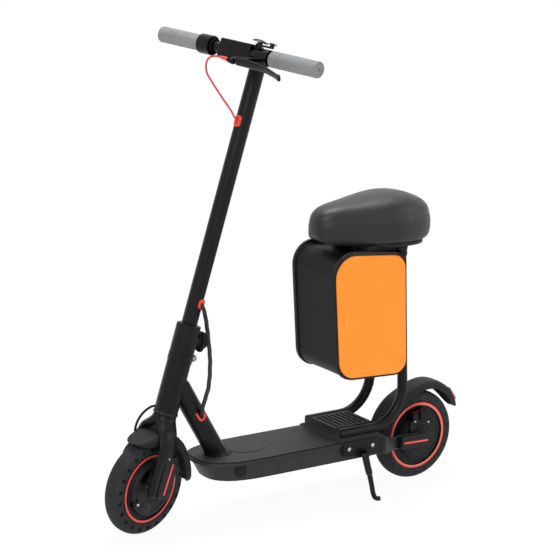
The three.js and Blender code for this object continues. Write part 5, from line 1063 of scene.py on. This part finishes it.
pan = surface("saddle_base", pan_surface(), "frame", [plastic], wrap=(False, True), slot="black_plastic")
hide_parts("saddle_pan")
rounded_bar("saddle_mount_rear", [240 * mm, side_shift - 45 * mm, 562 * mm],
            [277 * mm, side_shift + 45 * mm, 594 * mm], 6 * mm, "frame", [plastic], slot="black_plastic")
rounded_bar("saddle_mount", [150 * mm, side_shift - 68 * mm, 584.5 * mm],
            [262 * mm, side_shift + 68 * mm, 600 * mm], 3 * mm, "frame", [plastic], slot="black_plastic")

# %% [markdown]
# ## Bag
# The bag hangs between the seat tubes and leans with them. Seen from the side it is a four-sided outline
# with round corners. A leather shell runs round that outline, and each end is a stiff panel: a black
# frame with a corded edge round a padded orange field. The left panel is the lid.

# %% The bag's outline
LEAN = np.radians(3.7)
post_base = np.array([270.821 * mm, side_shift, 256.55 * mm])
post_axes = np.array([[np.cos(LEAN), 0, np.sin(LEAN)], [0, 1, 0], [-np.sin(LEAN), 0, np.cos(LEAN)]])
bag_corners = np.array([[-206, 349], [-199, 54], [0, 33], [0, 320]]) * mm
bag_rounds = np.array([48, 48, 36, 36]) * mm
panel_corners = np.array([[-206, 359.7], [-199, 54], [-0.4, 33], [-0.4, 325.2]]) * mm
panel_rounds = np.array([54, 50, 34, 40]) * mm
pad_corners = np.array([[-200.2, 347.9], [-193, 57.7], [-2.4, 36.9], [-2.4, 318]]) * mm
pad_rounds = np.array([50, 46, 31, 36]) * mm


def on_post(points):
    """Points of the leaning post's frame in the scooter's frame."""
    return post_base + np.asarray(points, float) @ post_axes


def outline_ring(corners, rounds, inset, y, rear_limit=1.0, count=240):
    """A round-cornered outline at one place across the bag, cut off straight at a rear limit."""
    ring = rounded_outline(corners, rounds, inset, count)
    return np.column_stack([np.minimum(ring[:, 0], rear_limit), np.full(count, y), ring[:, 1]])


print("bag outline of", len(outline_ring(bag_corners, bag_rounds, 0, 0)), "points")

# %% Bag panels


def bag_panel(name, inner, edge, face, side, body):
    """Rings from the back's middle out to the rim, over two cords and a seam, and in to the pad's middle.

    The cords and the seam lie between the panel's outline and the pad's: their first number is the share of
    that way. Behind and inside them it is an inset in millimetres."""
    behind = [(20, inner), (1.2, inner), (0.2, inner + 0.6), (0, inner + 1.6)]
    cords = [(0, edge - 1.6), (0.04, edge - 0.7), (0.14, edge - 0.1), (0.26, edge), (0.38, edge - 0.3),
             (0.46, edge - 1.1),
             (0.52, edge - 1.1), (0.6, edge - 0.4), (0.72, edge - 0.1), (0.84, edge - 0.3),
             (0.94, edge - 1.0), (1, edge - 1.5)]
    pad = [(0.3, edge - 0.6), (0.7, edge + 0.3), (1.6, edge + 1.2), (3, face - 1.1), (5.5, face - 0.7),
           (10, face - 0.3), (17, face - 0.1), (26, face)]
    rings = [outline_ring(panel_corners, panel_rounds, inset * mm, side * height * mm) for inset,
             height in behind]
    for share, height in cords:
        rings.append((1 - share) * outline_ring(panel_corners, panel_rounds, 0, side * height * mm)
                     + share * outline_ring(pad_corners, pad_rounds, 0, side * height * mm))
    rings += [outline_ring(pad_corners, pad_rounds, inset * mm, side * height * mm) for inset, height in pad]
    middle, back = rings[-1].mean(0), rings[0].mean(0)
    inward = [middle + (rings[-1] - middle) * share for share in (0.7, 0.4, 0.1, 0)]
    grid = np.array([back + (rings[0] - back) * share for share in (0, 0.5)] + rings + inward)
    paint = np.zeros(len(grid) - 1, int)
    paint[2 + len(behind) + len(cords) - 1:] = 1
    grid = np.swapaxes(on_post(grid), 0, 1)
    return surface(name, grid, body, [edge_leather, orange_leather], wrap=(True, False), column_paint=paint,
                   slot="orange_leather", edge=np.radians(60))


lid = bag_panel("bag_lid_panel", 74.6, 81, 84, -1, "lid")
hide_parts("bag_lid")
far_panel = bag_panel("bag_far_panel", 74.3, 83, 86, 1, "frame")

# %% Bag shell


def bag_shell():
    """A band round the outline: the outer skin from one panel to the other and back along the inner skin.

    Between the panels the leather sinks a little, most along the middle."""
    across = np.linspace(-74.2, 74.3, 60)
    sag = 1.4 * (1 - (across / 74.5) ** 2)
    outer = [outline_ring(bag_corners, bag_rounds, (2 + dip) * mm, y * mm, -12.3 * mm)
             for y, dip in zip(across, sag)]
    inner = [outline_ring(bag_corners, bag_rounds, (5 + dip) * mm, y * mm, -15.3 * mm)
             for y, dip in zip(across[::-1], sag[::-1])]
    grid = np.swapaxes(on_post(np.array(outer + inner)), 0, 1)
    return surface("bag_shell", grid, "frame", [bag_leather], wrap=(True, True), slot="bag_leather",
                   edge=np.radians(60))


shell = bag_shell()
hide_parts("bag_body")


def bag_cord(name, y, body):
    """A thin round cord that lies on the outline, where the shell meets the panel."""
    path = on_post(outline_ring(bag_corners, bag_rounds, 1.2 * mm, y, -2 * mm, 200))
    along = unit(np.roll(path, -1, 0) - np.roll(path, 1, 0))
    side_way = np.array([0, 1, 0])
    out = np.cross(along, side_way)
    angle = turn * np.arange(10)[None, :, None] / 10
    grid = path[:, None] + 1.7 * mm * (np.cos(angle) * out[:, None] + np.sin(angle) * side_way)
    return surface(name, grid, body, [edge_leather], wrap=(True, True), slot="bag_leather")


bag_cord("bag_cord_left", -72.4 * mm, "frame")
bag_cord("bag_cord_right", 72.4 * mm, "frame")

# %% [markdown]
# ## Cables
# Three cables show. The red brake cable swings out in a loop in front of the pole. The braided harness
# leaves the pole through a red ring and goes into the down tube. The motor's cable drops from the
# bearing to the axle. Each follows the path that the photograph shows, and its length is printed.

# %% Cables
brake_points = np.array([[-104.89, -2.5, 937.68], [-107, 8, 938.5], [-110, 26, 938.3], [-108, 45, 932.5],
                         [-103, 54, 918.9],
                         [-93, 55, 901.4], [-78.2, 50, 887.2], [-63.9, 31, 865.4], [-53.2, 20, 852],
                         [-40.8, 9, 838.4], [-28, 2, 824], [-17.8, 0, 818.5]]) * mm
red_cable = finish("red_cable", (198, 46, 50), (212, 58, 60), (0.4, 0.5), 1600, 0.3, 0.1)
brake_path = even_steps(smooth_path(steered(brake_points), 24), 240)
brake_line = tube("brake_line", brake_path, 2.1 * mm, "stem", [red_cable], 20,
                  away=steer_axes[1] + steer_axes[0], slot="red_sheath")
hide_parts("brake_cable")
boot_share = np.linspace(0, 1, 40)
boot_radius = (4.2 - 1.2 * boot_share ** 2 + 0.25 * np.cos(boot_share * turn * 5)) * mm
brake_boot = tube("brake_cable_boot", even_steps(brake_path[:19], 40), boot_radius, "stem", [red_rubber], 24,
                  away=steer_axes[0] + steer_axes[2], slot="red_rubber")


def ring_tab(points):
    """Rows of (y, z, height over the pole's front) of the steering's frame in the scooter's frame."""
    return steered(points[..., [2, 0, 1]] * [-1, 1, 1])


tab_corners = np.array([[-7.5, 806.5], [7.5, 806.5], [8.5, 831.5], [-8.5, 831.5]]) * mm
slit_shade_corners = np.array([[-1.3, 812], [1.3, 812], [1.3, 827], [-1.3, 827]]) * mm
slab("brake_cable_tab", tab_corners, 6 * mm, 15 * mm, 21.8 * mm, 2.2 * mm, "stem", [red_rubber], ring_tab,
     slot="red_rubber")
# The slit isn't cut: a thin dark slab on the tab paints the shade inside it.
slab("brake_cable_slit", slit_shade_corners, 1.2 * mm, 20 * mm, 22.1 * mm, 0.4 * mm, "stem", [cable_rubber],
     ring_tab, slot="black_rubber")

harness_upper = steered(np.array([[0.8, -14.5, 417], [1, -19.3, 415.8], [3.6, -23.8, 409.3],
                                  [9.5, -25.6, 400.5],
                                  [17.5, -25, 391.2], [36, -24, 363.8], [52.2, -24.5, 334.5]]) * mm)
harness_lower = np.array([[-233.8, -15, 381.3], [-236.3, -20, 356.8], [-240.5, -25, 334.3],
                          [-246.5, -29, 311.9], [-255.1, -31.5, 292.6]]) * mm + [0, side_shift, 0]
# The down tube leans forwards by this slope. The clip sits on its left, at this height.
TUBE_SLOPE, TUBE_FOOT_X, TUBE_FOOT_Z, TUBE_RADIUS = 0.594, -199, 147.5, 23
CLIP_HEIGHT, CLIP_TURN = 253, np.radians(85)
slant = np.arctan(TUBE_SLOPE)
tube_up = np.array([-np.sin(slant), 0, np.cos(slant)])
tube_out = (np.array([np.cos(slant), 0, np.sin(slant)]) * np.cos(CLIP_TURN)
            + np.array([0, -np.sin(CLIP_TURN), 0]))
tube_side = np.cross(tube_up, tube_out)
ring_middle = (np.array([TUBE_FOOT_X - TUBE_SLOPE * (CLIP_HEIGHT - TUBE_FOOT_Z), 0, CLIP_HEIGHT]) * mm
               + TUBE_RADIUS * mm * tube_out + [0, side_shift, 0])
harness_end = np.array([ring_middle + x * mm * tube_out + y * mm * tube_side + z * mm * tube_up
                        for x, y, z in ((8.8, 7.8, 16), (5, 3.2, 6.5), (0, 0.5, -1.5))])
harness_path = even_steps(smooth_path(np.vstack([harness_upper, harness_lower, harness_end]), 20), 421)

# A red clip, bent like a U, holds the harness where it goes into the down tube.
clip_points = np.array([[1.5, -7.8, 12.5], [1.9, -7.8, 5], [2.2, -7.7, -3], [2.3, -5.6, -8.4], [2.3, 0, -10],
                        [2.3, 5.6, -8.4], [2.2, 7.7, -3], [1.9, 7.8, 5], [1.5, 7.8, 11]]) * mm
clip_axes = np.array([tube_out, tube_side, tube_up])
clip = tube("neck_clip", even_steps(smooth_path(ring_middle + clip_points @ clip_axes, 12), 90), 2.6 * mm,
            "frame", [red_rubber], 16, away=tube_out, slot="red_rubber")
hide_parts("neck_grommet")
hole_angle = turn * np.arange(40)[:, None] / 40
hole_rim = np.array([[0.0, 0.6], [0.8, 0.6], [1.0, 0.2], [1.0, -3.0]])
hole_grid = (ring_middle + hole_rim[None, :, :1] * (7.6 * mm * np.cos(hole_angle)[..., None] * tube_side
                                                    + 9.6 * mm * np.sin(hole_angle)[..., None] * tube_up)
             + hole_rim[None, :, 1:] * mm * tube_out)
surface("neck_opening", hole_grid, "frame", [cable_rubber], wrap=(True, False), slot="black_rubber")

braid = finish("braided_sleeve", (20, 20, 22), (34, 34, 37), (0.55, 0.7), 1500, 0.2, 0.2)
braid_tree = braid.node_tree
braid_uv = braid_tree.nodes.new("ShaderNodeUVMap")
braid_split = add_node(braid_tree, "ShaderNodeSeparateXYZ", Vector=braid_uv.outputs["UV"])

BRAID_WAVES, BRAID_STRANDS = 20.0, 4.0


def strand(direction):
    """The wave of the strands that wind one way: a sine of the length plus or minus the turn."""
    length = arithmetic(braid_tree, "MULTIPLY", braid_split.outputs["X"], turn * BRAID_WAVES)
    winding = arithmetic(braid_tree, "MULTIPLY", braid_split.outputs["Y"], turn * BRAID_STRANDS * direction)
    return arithmetic(braid_tree, "SINE", arithmetic(braid_tree, "ADD", length, winding))


weave = arithmetic(braid_tree, "MAXIMUM", strand(1), strand(-1))
weave_bump = add_node(braid_tree, "ShaderNodeBump", Strength=0.8, Distance=0.0008, Height=weave,
                      Normal=braid_tree.nodes[braid["bump"]].outputs["Normal"])
braid_tree.links.new(weave_bump.outputs["Normal"], braid_tree.nodes["Principled BSDF"].inputs["Normal"])


# The harness: its radius, the share its strands stand out, their number and the points one twist takes.
HARNESS_RADIUS, HARNESS_WAVE, HARNESS_STRANDS, HARNESS_TWIST, HARNESS_SIDES = 4.6 * mm, 0.07, 3, 45, 24


def harness_piece(name, first, last, bodies, node):
    """A stretch of the harness with a rope's slow twist in its radius, made on the first body and then taken
    off it.
    """
    path = harness_path[first:last]
    share = np.linspace(0, 1, len(path))[:, None]
    twist = turn * share * len(path) / HARNESS_TWIST
    wave = 1 + HARNESS_WAVE * np.cos(HARNESS_STRANDS * around(HARNESS_SIDES) + twist)
    made = tube(name, path, HARNESS_RADIUS * wave, bodies[0], [braid], HARNESS_SIDES, away=(1.0, 0.3, 0.2),
                slot="black_rubber")
    made.parent = None
    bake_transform(made)
    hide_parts(node)
    print(name, round(path_length(path), 4), "m long")


split = 152
harness_piece("harness_top", 3, split + 1, ("fork", "stem"),
              "harness_upper")
harness_piece("harness_foot", split, 419, ("frame", "fork"),
              "harness_lower")

motor_points = np.array([[-5, 21, 176], [-15.5, 27, 172.8], [-27.9, 29.3, 164.6], [-38.5, 31, 152.4],
                         [-43.8, 33, 137.5], [-42.5, 36, 122.9], [-36, 39.3, 109.5], [-29.5, 41.8, 100]]) * mm
motor_path = even_steps(smooth_path(steered(motor_points), 20), 120)
motor_line = tube("motor_line", motor_path, 2.7 * mm, "fork", [cable_rubber], 16, away=steer_axes[1],
                  slot="black_rubber")
motor_line.parent = None
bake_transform(motor_line)
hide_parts("motor_cable")
print("brake line", round(path_length(brake_path), 4), "m, motor line", round(path_length(motor_path), 4),
      "m long")

# %% [markdown]
# ## Studio
# The scooter stands in a pale studio. The floor glows a little for the camera, so it stays white while
# it still takes the scooter's soft shadow. One large lamp stands to the left, a weaker one to the right
# and one overhead, and the sky gives plain light from all around.

# %% Floor and light
SHADOW_SHARE, SHADOW_NEAR, SHADOW_FAR, SKY_LEVEL = 0.93, 0.5, 1.3, 0.55


def seen_straight(tree):
    """1 for rays from the camera and for those that gloss or glass sends on, and 0 for all others."""
    ray = tree.nodes.new("ShaderNodeLightPath")
    straight, gloss, glass = (ray.outputs[f"Is {kind} Ray"] for kind in ("Camera", "Glossy", "Transmission"))
    return arithmetic(tree, "MAXIMUM", arithmetic(tree, "MAXIMUM", straight, gloss), glass)


floor_mesh = bpy.data.meshes.new("floor")
floor_mesh.from_pydata([(-30, -30, 0), (30, -30, 0), (30, 30, 0), (-30, 30, 0)], [], [(0, 1, 2, 3)])
floor = bpy.data.objects.new("floor", floor_mesh)
scene.collection.objects.link(floor)
floor_paint = bpy.data.materials.new("studio_floor")
floor_paint.use_nodes = True
floor_tree = floor_paint.node_tree
floor_skin = floor_tree.nodes["Principled BSDF"]
floor_skin.inputs["Base Color"].default_value = (0.98, 0.98, 0.98, 1)
floor_skin.inputs["Roughness"].default_value = 0.9
floor_skin.inputs["Specular IOR Level"].default_value = 0.1
glow = add_node(floor_tree, "ShaderNodeEmission", Color=(1, 1, 1, 1), Strength=1.0)
floor_place = floor_tree.nodes.new("ShaderNodeTexCoord")
floor_distance = add_node(floor_tree, "ShaderNodeVectorMath", {"operation": "LENGTH"})
floor_tree.links.new(floor_place.outputs["Object"], floor_distance.inputs[0])
floor_share = add_node(floor_tree, "ShaderNodeMapRange", Value=floor_distance.outputs["Value"],
                       From_Min=SHADOW_NEAR, From_Max=SHADOW_FAR, To_Min=SHADOW_SHARE, To_Max=1.0)
blend_share = arithmetic(floor_tree, "MULTIPLY", seen_straight(floor_tree), floor_share.outputs["Result"])
mixed = floor_tree.nodes.new("ShaderNodeMixShader")
floor_tree.links.new(blend_share, mixed.inputs[0])
floor_tree.links.new(floor_skin.outputs["BSDF"], mixed.inputs[1])
floor_tree.links.new(glow.outputs["Emission"], mixed.inputs[2])
floor_tree.links.new(mixed.outputs[0], floor_tree.nodes["Material Output"].inputs["Surface"])
floor_mesh.materials.append(floor_paint)

world = bpy.data.worlds.new("studio")
scene.world = world
world.use_nodes = True
sky = world.node_tree
background = sky.nodes["Background"]
background.inputs["Color"].default_value = (1, 1, 1, 1)
sky_level = add_node(sky, "ShaderNodeMapRange", Value=seen_straight(sky), To_Min=SKY_LEVEL, To_Max=1.0)
sky.links.new(sky_level.outputs["Result"], background.inputs["Strength"])


def lamp(name, place, aim, size, power):
    """A square area lamp that points at a place."""
    data = bpy.data.lights.new(name, "AREA")
    data.size, data.energy = size, power
    obj = bpy.data.objects.new(name, data)
    back = -unit(np.subtract(aim, place))
    side_way = unit(np.cross([0, 0, 1], back)) if abs(back[2]) < 0.99 else np.array([1.0, 0, 0])
    matrix = np.eye(4)
    matrix[:3, :3] = np.column_stack([side_way, np.cross(back, side_way), back])
    matrix[:3, 3] = place
    obj.matrix_world = Matrix(matrix.tolist())
    scene.collection.objects.link(obj)


lamp("key_lamp", (-2.6, -2.2, 2.9), (0, 0, 0.5), 1.1, 60)
lamp("fill_lamp", (2.6, -2.4, 1.8), (0, 0, 0.5), 1.2, 20)
lamp("top_lamp", (0.3, 0.6, 3.4), (0, 0, 0.4), 1.4, 76)
print("stage and lamps ready")
